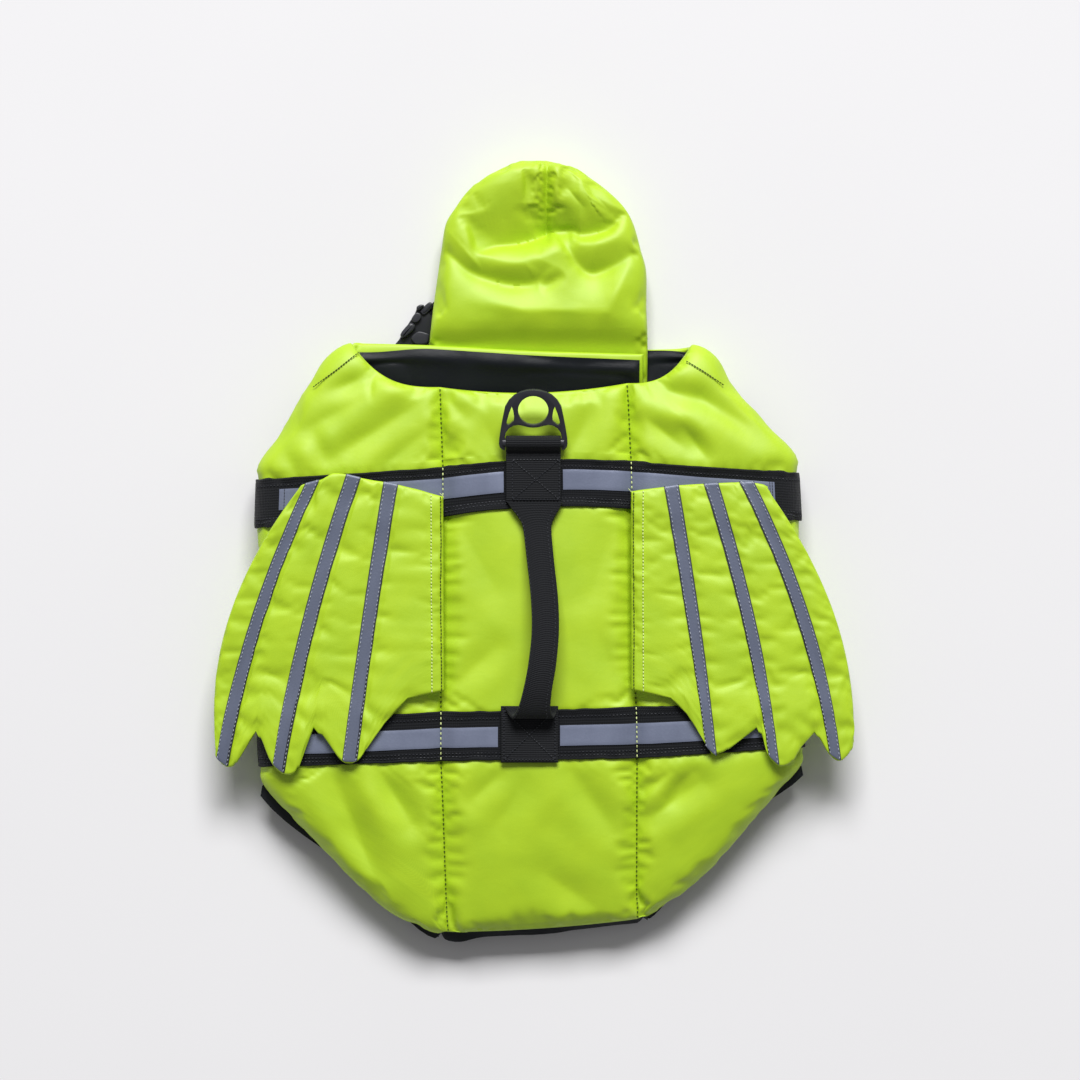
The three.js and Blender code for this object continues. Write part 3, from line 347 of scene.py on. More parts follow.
class Cloth:
    """A grid of points with its normals and the lengths across and down it."""

    def __init__(self, points, flip=False):
        self.p = points
        normal = unit(np.cross(np.gradient(points, axis=0), np.gradient(points, axis=1)))
        self.n = -normal if flip else normal
        self.across = np.zeros(points.shape[:2])
        self.down = np.zeros(points.shape[:2])
        self.across[:, 1:] = np.cumsum(np.linalg.norm(np.diff(points, axis=1), axis=2), axis=1)
        self.down[1:] = np.cumsum(np.linalg.norm(np.diff(points, axis=0), axis=2), axis=0)
        self.first, self.last = self.down, self.down[-1:] - self.down
        self.left, self.right = self.across, self.across[:, -1:] - self.across

    def out(self, distance):
        distance = np.broadcast_to(distance, self.p.shape[:2])
        return self.p + self.n * distance[:, :, None]

    def part(self, rows, columns):
        """A piece of the grid that keeps its normals and lengths."""
        piece = object.__new__(Cloth)
        for key, value in self.__dict__.items():
            setattr(piece, key, value[rows, columns])
        return piece

    def edge(self, sides="first last left right"):
        return np.min([getattr(self, s) for s in sides.split()], axis=0)


def rounded(distance, reach):
    f = np.clip(distance / reach, 0, 1)
    return np.sqrt(1 - (1 - f) ** 2)


def padding(cloth, pad, reach, free="first last left right"):
    """Thickness: full inside, sewn flat at the borders in reach, rounded off at the free rims."""
    share = np.ones(cloth.p.shape[:2])
    for side, distance in reach.items():
        if side in free:
            share = share * rounded(getattr(cloth, side), distance)
        else:
            share = share * (1 - (1 - np.clip(getattr(cloth, side) / distance, 0, 1)) ** 2.2)
    rim = 0.25 + 0.75 * rounded(cloth.edge(free), 1.7)
    return (SEWN_EDGE + np.maximum(0, pad - SEWN_EDGE) * share) * rim


def nearest(x, y, x0, y0, x1, y1):
    """Share of the nearest point of a line from each point, and how far away it is."""
    dx, dy = x1 - x0, y1 - y0
    f = np.clip(((x - x0) * dx + (y - y0) * dy) / (dx * dx + dy * dy), 0, 1)
    return f, np.hypot(x - x0 - f * dx, y - y0 - f * dy)


def creased(creases, x, y, sharp=0.5):
    """Depth of the creases at each point."""
    depth = np.zeros(np.shape(x))
    for x0, y0, x1, y1, width, deep in zip(*creases.values()):
        f, away = nearest(x, y, x0, y0, x1, y1)
        away = np.abs(away + 1.1 * noise(x, y, 17, 5))
        soft = np.exp(-(away / width) ** 2)
        keen = np.exp(-(np.hypot(away, 1.2) - 1.2) / (0.55 * width))
        shape = mix(soft, keen, sharp) - 0.3 * np.exp(-((away - 1.8 * width) / width) ** 2)
        depth += deep * shape * (0.55 + 0.45 * np.sin(math.pi * f))
    return depth


def puckers(distance, along_seam, reach=9, period=9.0, seed=1):
    """Short ripples that run out from a seam."""
    skew = along_seam + 0.3 * distance
    beat = np.abs(noise(skew, 0 * skew, period * 0.5, seed)) + 0.5 * noise(skew, 0 * skew, period, seed + 1)
    return beat * np.exp(-distance / reach) * smooth(0.6, 3.0, distance)


# Cloth that settles

UNIT = 0.01  # the cloth settles ten times as large as it is, where the solver is at its best
FRAMES = 16
SETTLING = {
    "vertex_group_mass": "sewn", "quality": 5, "mass": 0.25, "air_damping": 3, "tension_stiffness": 18,
    "compression_stiffness": 18, "shear_stiffness": 8, "bending_stiffness": 0.35, "use_pressure": True,
}


def every(count, skip):
    return np.unique(np.r_[0:count:skip, count - 1])


def settled(cloth, surface, pinned, grow, pressure, limit, skip=2):
    """Lets the top cloth of a padded piece wrinkle: it is cut larger than the place it is sewn into."""
    rows, columns = (every(n, skip) for n in surface.shape[:2])
    start = surface[np.ix_(rows, columns)]
    held = pinned[np.ix_(rows, columns)]
    count = held.size
    ids = np.arange(count).reshape(held.shape)
    faces = np.stack([ids[:-1, :-1], ids[:-1, 1:], ids[1:, 1:], ids[1:, :-1]], 2).reshape(-1, 4)
    mesh = bpy.data.meshes.new("settling")
    mesh.from_pydata(start.reshape(-1, 3) * UNIT, [], faces.tolist())
    upright = mesh.polygons[count // 2].normal.dot(Vector(cloth.n[len(cloth.n) // 2, cloth.n.shape[1] // 2]))
    if upright < 0:
        mesh.flip_normals()
    piece = bpy.data.objects.new("settling", mesh)
    bpy.context.collection.objects.link(piece)
    group = piece.vertex_groups.new(name="sewn")
    group.add(np.flatnonzero(held.ravel() > 0.5).tolist(), 1.0, "REPLACE")
    solver = piece.modifiers.new("Cloth", "CLOTH")
    for key, value in SETTLING.items():
        setattr(solver.settings, key, value)
    solver.settings.shrink_min = -grow
    solver.settings.uniform_pressure_force = pressure
    solver.settings.effector_weights.gravity = 0
    solver.collision_settings.use_collision = False
    for step in range(1, FRAMES + 1):
        bpy.context.scene.frame_set(step)
    shown = piece.evaluated_get(bpy.context.evaluated_depsgraph_get())
    ends = np.empty(count * 3, np.float32)
    shown.data.vertices.foreach_get("co", ends)
    bpy.data.objects.remove(piece)
    bpy.context.scene.frame_set(1)
    moved = (ends.reshape(start.shape) / UNIT - start)
    size = np.linalg.norm(moved, axis=2, keepdims=True)
    moved *= np.tanh(size / limit) * limit / np.maximum(size, 1e-6)
    for axis, kept in enumerate((rows, columns)):
        moved = cubic(moved, np.interp(np.arange(surface.shape[axis]), kept, np.arange(len(kept))), axis)
    return surface + moved


# Materials

THREAD_SCALE = 0.31416  # makes a wave's period one unit long
WING_TAPE_WIDTH = 10.8


def node_tree(name):
    material = bpy.data.materials.new(name)
    material.use_nodes = True
    tree = material.node_tree
    return material, tree, tree.nodes["Principled BSDF"]


def finish_material(tree, shader, colour, normal=None, **values):
    """Joins colour and normal to the shader and sets its other values."""
    tree.links.new(colour, shader.inputs["Base Color"])
    if normal is not None:
        tree.links.new(normal, shader.inputs["Normal"])
    for key, value in values.items():
        shader.inputs[key.replace("_", " ")].default_value = value


def add_node(tree, kind, inputs, output=0, **settings):
    """Adds a shader node and gives one of its outputs."""
    node = tree.nodes.new("ShaderNode" + kind)
    for key, value in settings.items():
        setattr(node, key, value)
    for key, value in inputs.items():
        if isinstance(value, bpy.types.NodeSocket):
            tree.links.new(value, node.inputs[key])
        else:
            node.inputs[key].default_value = value
    return node.outputs[output]


def linear(r, g, b):
    """A shown colour from 0 to 255 as linear light."""
    lin = [(c / 255 / 12.92) if c < 10.3 else ((c / 255 + 0.055) / 1.055) ** 2.4 for c in (r, g, b)]
    return (*lin, 1.0)


def shade(colour, share):
    return [c * share for c in colour[:3]] + [1]


def scaled_uv(tree, scale, turn=0.0):
    uv = add_node(tree, "UVMap", {}, "UV")
    return add_node(tree, "Mapping", {"Vector": uv, "Scale": scale, "Rotation": (0, 0, math.radians(turn))},
                    "Vector")


def wave(tree, size, turn, distortion, **more):
    """Threads or ribs of a size, across the cloth at a turn."""
    return add_node(tree, "TexWave", {
        "Vector": scaled_uv(tree, (1 / size,) * 3, turn), "Scale": THREAD_SCALE, "Distortion": distortion, **more},
        "Fac")


def cloud(tree, x_scale, y_scale, detail, turn=0, **more):
    """Soft noise on the cloth's own surface."""
    return add_node(tree, "TexNoise", {
        "Vector": scaled_uv(tree, (x_scale, y_scale, 1), turn), "Scale": 1.0, "Detail": detail, **more}, "Fac")


def solid_cloud(tree, scale, detail):
    """Soft noise in the object's own space."""
    place = add_node(tree, "TexCoord", {}, "Object")
    return add_node(tree, "TexNoise", {"Vector": place, "Scale": scale, "Detail": detail}, "Fac")


def scaled(tree, value, factor, added=0.0):
    return add_node(tree, "Math", {0: value, 1: factor, 2: added}, "Value", operation="MULTIPLY_ADD")


def blend(tree, factor, dark, colour):
    return add_node(tree, "Mix", {"Factor": factor, "A": dark, "B": colour}, "Result", data_type="RGBA")


def relief(tree, height, strength, distance, **more):
    return add_node(tree, "Bump", {"Height": height, "Strength": strength, "Distance": distance, **more}, "Normal")


def cloth_material(name, colour, dark, roughness, weave, turn, bump, sheen, sheen_tint, wrinkle, specular):
    """Woven cloth: two sets of threads, uneven dye and small wrinkles."""
    material, tree, shader = node_tree(name)
    warp, weft = (wave(tree, weave, turn + aside, 0.4, Detail=1.0, **{"Detail Scale": 2.0}) for aside in (0, 90))
    threads = add_node(tree, "Math", {0: warp, 1: weft}, "Value", operation="MULTIPLY")
    amount = scaled(tree, cloud(tree, 0.028, 0.028, 3.0), 0.55)
    amount = scaled(tree, threads, 0.22, amount)
    amount = scaled(tree, cloud(tree, 0.9, 0.9, 2.0), 0.22, amount)
    small = cloud(tree, 0.11, 0.16, 3.0, 20, Distortion=0.6)
    fold = relief(tree, scaled(tree, small, wrinkle), 0.55, 0.003)
    grain = relief(tree, threads, bump, 0.0004, Normal=fold)
    finish_material(tree, shader, blend(tree, amount, dark, colour), grain, Roughness=roughness,
                    Sheen_Weight=sheen, Sheen_Roughness=0.4, Sheen_Tint=sheen_tint, Specular_IOR_Level=specular)
    return material


def webbing_material(name, turn):
    """Webbing: cross ribs over fine lengthwise yarns."""
    material, tree, shader = node_tree(name)
    ribs = wave(tree, 1.3, turn, 0.8, Detail=1.0, **{"Detail Scale": 1.5})
    woven = scaled(tree, wave(tree, 1.9, turn + 90, 0.3), 0.45, ribs)
    amount = scaled(tree, woven, 0.3, scaled(tree, cloud(tree, 1.4, 1.4, 3.0), 0.8))
    finish_material(tree, shader, blend(tree, amount, linear(8, 9, 11), linear(24, 26, 31)),
                    relief(tree, woven, 0.6, 0.0006), Roughness=0.7, Sheen_Weight=0.06, Specular_IOR_Level=0.22)
    return material


def tape_material(name, colour, dark, border=None):
    """Smooth reflective tape with a faint grid, and dark cloth along its borders."""
    material, tree, shader = node_tree(name)
    cells = add_node(tree, "TexVoronoi", {"Vector": scaled_uv(tree, (0.8, 0.8, 1)), "Scale": 1.0}, "Distance")
    out = blend(tree, scaled(tree, cells, 0.15, cloud(tree, 0.05, 0.02, 4.0)), dark, colour)
    if border:
        half = WING_TAPE_WIDTH / 2
        split = add_node(tree, "SeparateXYZ", {0: add_node(tree, "UVMap", {}, "UV")}, "X")
        middle = add_node(tree, "Math", {0: split, 1: half}, operation="SUBTRACT")
        away = add_node(tree, "Math", {0: middle}, operation="ABSOLUTE")
        rim = add_node(tree, "MapRange", {"Value": away, "From Min": half - 0.75, "From Max": half - 0.5}, "Result")
        out = blend(tree, rim, out, border)
    finish_material(tree, shader, out, relief(tree, cells, 0.15, 0.0003), Roughness=0.42, Metallic=0.15,
                    Specular_IOR_Level=0.5)
    return material


def plastic_material(name, colour):
    material, tree, shader = node_tree(name)
    tone = blend(tree, solid_cloud(tree, 60.0, 3.0), shade(colour, 0.8), shade(colour, 1.2))
    grain = relief(tree, solid_cloud(tree, 1400.0, 2.0), 0.2, 0.0002)
    finish_material(tree, shader, tone, grain, Roughness=0.36)
    return material


def thread_material(name, colour):
    material, tree, shader = node_tree(name)
    tone = blend(tree, solid_cloud(tree, 2500.0, 1.0), shade(colour, 0.7), colour)
    finish_material(tree, shader, tone, Roughness=0.6)
    return material


LIME = cloth_material("lime_shell", linear(198, 228, 24), linear(150, 190, 6), 0.55, weave=0.5, turn=45, bump=0.1,
                      sheen=0.06, sheen_tint=(0.9, 1.0, 0.5, 1), wrinkle=0.06, specular=0.75)
BLACK = cloth_material("black_lining", linear(24, 29, 38), linear(5, 7, 9), 0.4, weave=0.7, turn=0, bump=0.3,
                       sheen=0.05, sheen_tint=(1, 1, 1, 1), wrinkle=0.05, specular=0.3)
WEB_U = webbing_material("webbing_along_u", 0)
WEB_V = webbing_material("webbing_along_v", 90)
GREY_BAND = tape_material("band_tape", linear(128, 135, 158), linear(96, 103, 124))
GREY_WING = tape_material("wing_tape", linear(112, 119, 140), linear(84, 90, 108), border=linear(46, 48, 57))
PLASTIC = plastic_material("ring_plastic", linear(46, 46, 53))
BUCKLE_PLASTIC = plastic_material("buckle_plastic", linear(26, 28, 33))


# Meshes

SHARP = math.radians(50)  # edges sharper than this stay sharp


def make_mesh(name, vertices, faces, material, uv=None):
    mesh = bpy.data.meshes.new(name)
    mesh.from_pydata((vertices + SHIFT) * MM, [], faces)
    if uv is not None:
        layer = mesh.uv_layers.new(name="UVMap")
        index = np.empty(len(mesh.loops), np.int32)
        mesh.loops.foreach_get("vertex_index", index)
        layer.data.foreach_set("uv", uv[index].astype(np.float32).ravel())
    mesh.materials.append(material)
    mesh.shade_smooth()
    mesh.set_sharp_from_angle(angle=SHARP)
    piece = bpy.data.objects.new(name, mesh)
    bpy.context.collection.objects.link(piece)
    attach(piece, "garment")
    return piece


def closed(name, outer, inner, cloth, material):
    """One closed sheet between two grids of points."""
    rows, columns = outer.shape[:2]
    count = rows * columns
    ids = np.arange(count).reshape(rows, columns)
    a, b = ids[:-1, :-1].ravel(), ids[1:, :-1].ravel()
    c, d = ids[1:, 1:].ravel(), ids[:-1, 1:].ravel()
    faces = [np.stack([a, b, c, d], 1), np.stack([a, d, c, b], 1) + count]
    ring = np.concatenate([ids[0, :-1], ids[:-1, -1], ids[-1, :0:-1], ids[:0:-1, 0]])
    after = np.roll(ring, -1)
    faces.append(np.stack([ring, after, after + count, ring + count], 1))
    faces = np.concatenate(faces)
    vertices = np.concatenate([outer.reshape(-1, 3), inner.reshape(-1, 3)])
    p = vertices[faces]
    volume = np.einsum("ij,ij->", p[:, 0], np.cross(p[:, 1], p[:, 2]) + np.cross(p[:, 2], p[:, 3]))
    if volume < 0:
        faces = faces[:, ::-1]
    uv = np.stack([cloth.across, cloth.down], 2).reshape(-1, 2)
    uv = np.concatenate([uv, uv])
    return make_mesh(name, vertices, faces.tolist(), material, uv)


def strip(name, base, lift, thickness, material, node):
    """Webbing or tape on a grid of points, moved out by lift."""
    rim = 0.35 + 0.65 * rounded(base.edge_distance, 0.8)
    top = base.out(lift + thickness * (0.5 + 0.5 * rim))
    bottom = base.out(lift + thickness * (0.5 - 0.5 * rim))
    piece = closed(name, top, bottom, base, material)
    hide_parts(node)
    return Cloth(top, base.flipped)


def regrid(points, flipped=False):
    cloth = Cloth(points, flipped)
    cloth.edge_distance = cloth.edge()
    cloth.flipped = flipped
    return cloth


# Stitches

class Stitches:
    """Thread that shows between the needle holes, all of one colour in one piece."""

    SIDES = 5
    # Place along the stitch, height and thickness of its rings
    RINGS = ((0.0, -0.35, 0.55), (0.22, 0.75, 1), (0.78, 0.75, 1), (1.0, -0.35, 0.55))

    def __init__(self, colour_name, slot, *colour):
        self.name = "stitches_" + colour_name
        self.slot = slot
        self.material = thread_material("thread_" + colour_name, linear(*colour))
        self.vertices, self.faces = [], []

    def run(self, points, normals, pitch=3.4, share=0.62, radius=0.3, lift=0.1):
        lengths = lengths_of(points)
        count = int(lengths[-1] / pitch)
        if count < 1:
            return
        start = (np.arange(count) + 0.5 * (1 - share)) * (lengths[-1] / count)
        rings = []
        for f, high, _ in self.RINGS:
            at = start + f * pitch * share
            n = unit(picked(at, lengths, normals))
            rings.append((picked(at, lengths, points) + n * (lift + radius * high), n))
        way = unit(rings[3][0] - rings[0][0])
        base = sum(len(v) for v in self.vertices)
        sides = self.SIDES
        stack = []
        for (centre, n), (_, _, size) in zip(rings, self.RINGS):
            aside = np.cross(way, n)
            for k in range(sides):
                a = 2 * math.pi * k / sides
                stack.append(centre + radius * size * (math.cos(a) * aside + math.sin(a) * n))
        self.vertices.append(np.stack(stack, 1).reshape(-1, 3))
        for o in range(base, base + count * 4 * sides, 4 * sides):
            for r in range(3):
                for k in range(sides):
                    m = (k + 1) % sides
                    self.faces.append((o + r * sides + k, o + r * sides + m,
                                       o + (r + 1) * sides + m, o + (r + 1) * sides + k))
            self.faces.append(tuple(o + k for k in reversed(range(sides))))
            self.faces.append(tuple(o + 3 * sides + k for k in range(sides)))

    def build(self):
        make_mesh(self.name, np.concatenate(self.vertices), self.faces, self.material)


lime_thread = Stitches("lime", "shell", 232, 246, 165)
olive_thread = Stitches("olive", "shell", 66, 84, 14)
black_thread = Stitches("black", "webbing", 44, 46, 53)
white_thread = Stitches("white", "tape", 182, 188, 200)


def at_distance(cloth, surface, side, distance):
    """Points of a surface at a distance from one side of its cloth, with normals."""
    field, p, n = getattr(cloth, side), surface.p, surface.n
    if side in ("first", "last"):
        field, p, n = field.T, p.transpose(1, 0, 2), n.transpose(1, 0, 2)
    orders = [np.argsort(row) for row in field]
    return tuple(
        np.array([picked([distance], row[order], line[order])[0] for row, order, line in zip(field, orders, grid)])
        for grid in (p, n))


# The back

def section_places(first, last):
    """Fractional sections from first to last, about a step apart, with each whole one."""
    mid = np.stack([(BACK["seamLX"] + BACK["seamRX"]) / 2, (BACK["seamLY"] + BACK["seamRY"]) / 2], 1)
    places = []
    for k in range(first, last):
        length = np.linalg.norm(mid[k + 1] - mid[k])
        steps = max(1, round(length / STEP))
        places.extend(k + np.arange(steps) / steps)
    places.append(float(last))
    if first == 0:
        places += [0.04, 0.1, 0.18]
    if last == LAST:
        places += [LAST - 0.05, LAST - 0.12, LAST - 0.22]
    return np.unique(np.round(places, 5))


places = section_places(0, LAST)
B = curves(BACK, places)
side_shares = spread(150)
centre_shares = spread(136)


def side_mid(side):
    seam, edge, sign = ("seamL", "left", -1) if side == "L" else ("seamR", "right", 1)
    inner = np.stack([B[seam + "X"] + sign * 0.02, B[seam + "Y"], B["seamZ"]], 1)
    outer = np.stack([B[edge + "X"], B[edge + "Y"], B["edgeZ"]], 1)
    grid = turned(inner, outer, 3.2, B["bend"], side_shares)
    return grid[:, ::-1] if side == "L" else grid


def centre_mid():
    s = centre_shares[None, :]
    arch = 4 * s * (1 - s)
    return np.stack([
        mix(B["seamLX"][:, None] + 0.02, B["seamRX"][:, None] - 0.02, s),
        mix(B["seamLY"][:, None], B["seamRY"][:, None], s) + B["sag"][:, None] * arch,
        mix(B["seamZ"][:, None], B["crown"][:, None], arch),
    ], 2)


REACH = {"first": 11, "last": 11, "left": 15, "right": 15}


def back_panel(name, grid, seams, node):
    mid = Cloth(grid)
    sewn = {side for side, _ in seams}
    thick = padding(mid, PAD, REACH, free=" ".join(s for s in REACH if s not in sewn))
    x, y = mid.p[:, :, 0], mid.p[:, :, 1]
    full = np.clip((thick - SEWN_EDGE) / 6, 0, 1)
    relief = -1.5 * creased(BACK_CREASES, x, y, 0.35) * full
    relief = relief + (0.55 * noise(x, y, 46, 11) + 0.22 * noise(x + y, y - x, 19, 12)) * full
    for side, seed in seams:
        relief = relief + 0.4 * puckers(getattr(mid, side), mid.down, seed=seed)
    for side, seed in (("first", 31), ("last", 33)):
        relief = relief + 0.45 * puckers(getattr(mid, side), mid.across, seed=seed)
    # The hem at the sides is drawn tight.
    for side in {"left", "right"} - sewn:
        relief = relief * smooth(6, 34, getattr(mid, side))
    outer = mid.out(thick / 2 + relief)
    banded = np.zeros(len(places), bool)
    for sections in (BAND_UPPER, BAND_LOWER):
        banded |= (places >= sections[0] + 0.11) & (places <= sections[1] - 0.11)
    pinned = (mid.edge() < 1.0) | banded[:, None]
    outer = settled(mid, outer, pinned, 0.02, 1.6, 2.0)
    inner = mid.out(-thick / 2)
    piece = closed(name, outer, inner, mid, LIME)
    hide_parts(node)
    top = Cloth(outer)
    if name == "back_centre_cloth":
        for side in ("left", "right"):
            points, normals = at_distance(mid, top, side, 0.0)
            normals[:] = (0, 0, 1)
            olive_thread.run(points[2:-2], normals[2:-2], pitch=3.4, share=0.4, radius=0.5, lift=0.5)
    return mid, top, inner


back = [
    back_panel("back_left_cloth", side_mid("L"), [("right", 21)], "back_left_panel"),
    back_panel("back_centre_cloth", centre_mid(), [("left", 22), ("right", 23)], "back_centre_panel"),
    back_panel("back_right_cloth", side_mid("R"), [("left", 24)], "back_right_panel"),
]


BACK_EDGE = {
    "left": np.stack([B["leftX"], B["leftY"], B["edgeZ"]], 1),
    "right": np.stack([B["rightX"], B["rightY"], B["edgeZ"]], 1),
}


def whole(k):
    """The three panels' grids side by side."""
    get = {"normal": lambda b: b[0].n, "top": lambda b: b[1].p, "inner": lambda b: b[2]}
    return np.concatenate([get[k](b) for b in back], axis=1)


def back_lining():
    columns = np.r_[2:whole("top").shape[1] - 2:2]
    rows = np.unique(np.r_[3:len(places):2, len(places) - 1])
    inner = whole("inner")[np.ix_(rows, columns)]
    normal = whole("normal")[np.ix_(rows, columns)]
    top = inner - normal * (GAP + 0.5)
    # Past the hem the cloth shows as a narrow lip, also at the corners of the sides.
    hem = np.stack([BACK_EDGE[side][rows] for side in ("left", "right")])
    sides = []
    for side, edge, sign in (("left", hem[0], -1), ("right", hem[1], 1)):
        along_hem = np.gradient(edge[:, :2], axis=0)
        along_hem /= np.linalg.norm(along_hem, axis=1, keepdims=True)
        outward = np.stack([along_hem[:, 1], -along_hem[:, 0]], 1) * -sign
        reach = np.interp(places[rows], LIP_SIDE["section"], LIP_SIDE[side])
        start = top[:, 0] if side == "left" else top[:, -1]
        grown = []
        for f in (0.35, 0.75, 1.0):
            point = start.copy()
            wide = (reach > 0)[:, None]
            point[:, :2] = np.where(wide, mix(start[:, :2], edge[:, :2] + outward * reach[:, None], f),
                                    start[:, :2] - 0.1 * f * outward)
            point[:, 2] -= 1.4 * f * (reach > 0)
            grown.append(point)
        sides.append(np.stack(grown[::-1] if side == "left" else grown, 1))
    grid = np.concatenate([sides[0], top, sides[1]], axis=1)
    x = grid[-1, :, 0]
    length = 5.2 + 3.2 * np.exp(-((x + 56) / 12) ** 2) - 1.6 * smooth(-20, 60, x)
    corner = smooth(0, 4.5, np.minimum(x - x.min(), x.max() - x))
    length = mix(1.5, length, corner)
    lip = [grid[-1] + np.stack([
        0 * x, -length * f + 0.5 * noise(x, 0 * x, 14, 41) * f, -2.5 * f + 0 * x], 1)
        for f in (0.25, 0.5, 0.75, 0.92, 1.0)]
    cloth = Cloth(np.concatenate([grid, lip]))
    piece = closed("back_lining_cloth", cloth.p, cloth.out(-LINING), cloth, BLACK)
    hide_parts("back_lining")


back_lining()


# Bands across the back, with reflective tape

def blur(values, size, axis):
    kernel = np.exp(-0.5 * (np.arange(-3 * size, 3 * size + 1) / size) ** 2)
    kernel /= kernel.sum()
    pad = [(0, 0)] * values.ndim
    pad[axis] = (3 * size, 3 * size)
    padded = np.pad(values, pad, mode="edge")
    return np.apply_along_axis(lambda v: np.convolve(v, kernel, mode="valid"), axis, padded)


def rows_between(sections):
    return np.flatnonzero((places >= sections[0] - 1e-6) & (places <= sections[1] + 1e-6))


def finer(points, count):
    """More rows between the first and last, closer together at both ends."""
    rows = np.linspace(0, 1, len(points))
    wanted = web_spread(count, 1.0)
    return np.stack([picked(wanted, rows, points[:, j]) for j in range(points.shape[1])], 1)


def band(which, sections):
    rows = rows_between(sections)
    surface, normal = whole("top")[rows], whole("normal")[rows]
    height = blur(surface[:, :, 2], 3, 1)
    bridged = surface.copy()
    inside = slice(8, -8)
    bridged[:, inside, 2] = np.maximum(surface[:, inside, 2], height[:, inside])
    base = regrid(finer(bridged, 36))
    top = strip(f"{which}_webbing", base, GAP, WEBBING, WEB_U,
                which)
    for side, distance in (("first", 5.6), ("last", 3.3), ("last", 6.0)):
        points, normals = at_distance(base, top, side, distance)
        black_thread.run(points[6:-6], normals[6:-6], pitch=2.6, share=0.75, radius=0.36)
    return top


def band_tape(node, top, columns):
    rows = np.linspace(0, 1, len(top.p))
    wanted = np.linspace(*TAPE_EDGES, 12)
    base = regrid(np.stack([picked(wanted, rows, top.p[:, j]) for j in range(*columns)], 1))
    return strip(f"{node}_cloth", base, 0.12, TAPE, GREY_BAND, node)


def column_at(x_mm, grid):
    return int(np.argmin(np.abs(grid[len(grid) // 2, :, 0] - x_mm)))


# Where each tape starts and ends across the back
TAPE_ENDS = {
    "band_upper": {"left": (-184.8, -21.1), "right": (20.2, 173.2)},
    "band_lower": {"left": (-184.8, -25.4), "right": (16.8, 173.2)},
}
tapes = []
bands = {}
for which, sections in (("band_upper", BAND_UPPER), ("band_lower", BAND_LOWER)):
    bands[which] = band(which, sections)
    for side, ends in TAPE_ENDS[which].items():
        columns = [column_at(x_mm, bands[which].p) for x_mm in ends]
        tapes.append(band_tape(f"{which}_tape_{side}", bands[which], columns))


# The folded ends of the upper tapes are sewn down with two lines.
for top, places_x in ((tapes[0], (-181.6, -180.2)), (tapes[1], (169.9, 168.5))):
    for x_mm in places_x:
        column = column_at(x_mm, top.p)
        black_thread.run(top.p[:, column], top.n[:, column], pitch=2.0, share=0.98, radius=0.26, lift=-0.05)


# Height of what lies under a wing

CELL = 2.0
RASTER = (280, 320)


def cells(x, y):
    i = np.clip(np.round(x / CELL + RASTER[0] / 2).astype(int), 0, RASTER[0] - 1)
    j = np.clip(np.round(y / CELL + RASTER[1] / 2).astype(int), 0, RASTER[1] - 1)
    return i, j


def spread_max(values, radius):
    out = values.copy()
    for axis in (0, 1):
        held = out.copy()
        for k in range(-radius, radius + 1):
            held = np.maximum(held, np.roll(out, k, axis))
        out = held
    return out


def height_map(surfaces):
    heights = np.zeros(RASTER)
    for p in surfaces:
        i, j = cells(p[..., 0].ravel(), p[..., 1].ravel())
        np.maximum.at(heights, (i, j), p[..., 2].ravel())
    return spread_max(heights, 1 if FINE else 2)


def sample(heights, x, y):
    gx = np.clip(x / CELL + RASTER[0] / 2, 0, RASTER[0] - 1.001)
    gy = np.clip(y / CELL + RASTER[1] / 2, 0, RASTER[1] - 1.001)
    i, j = gx.astype(int), gy.astype(int)
    fx, fy = gx - i, gy - j
    near, far = (mix(heights[i, k], heights[i + 1, k], fx) for k in (j, j + 1))
    return mix(near, far, fy)


ground = height_map([whole("top"), *(b.p for b in bands.values()), *(t.p for t in tapes)])
draped = blur(blur(spread_max(ground, 3), 2, 0), 2, 1)
draped = np.maximum(draped, spread_max(ground, 1))


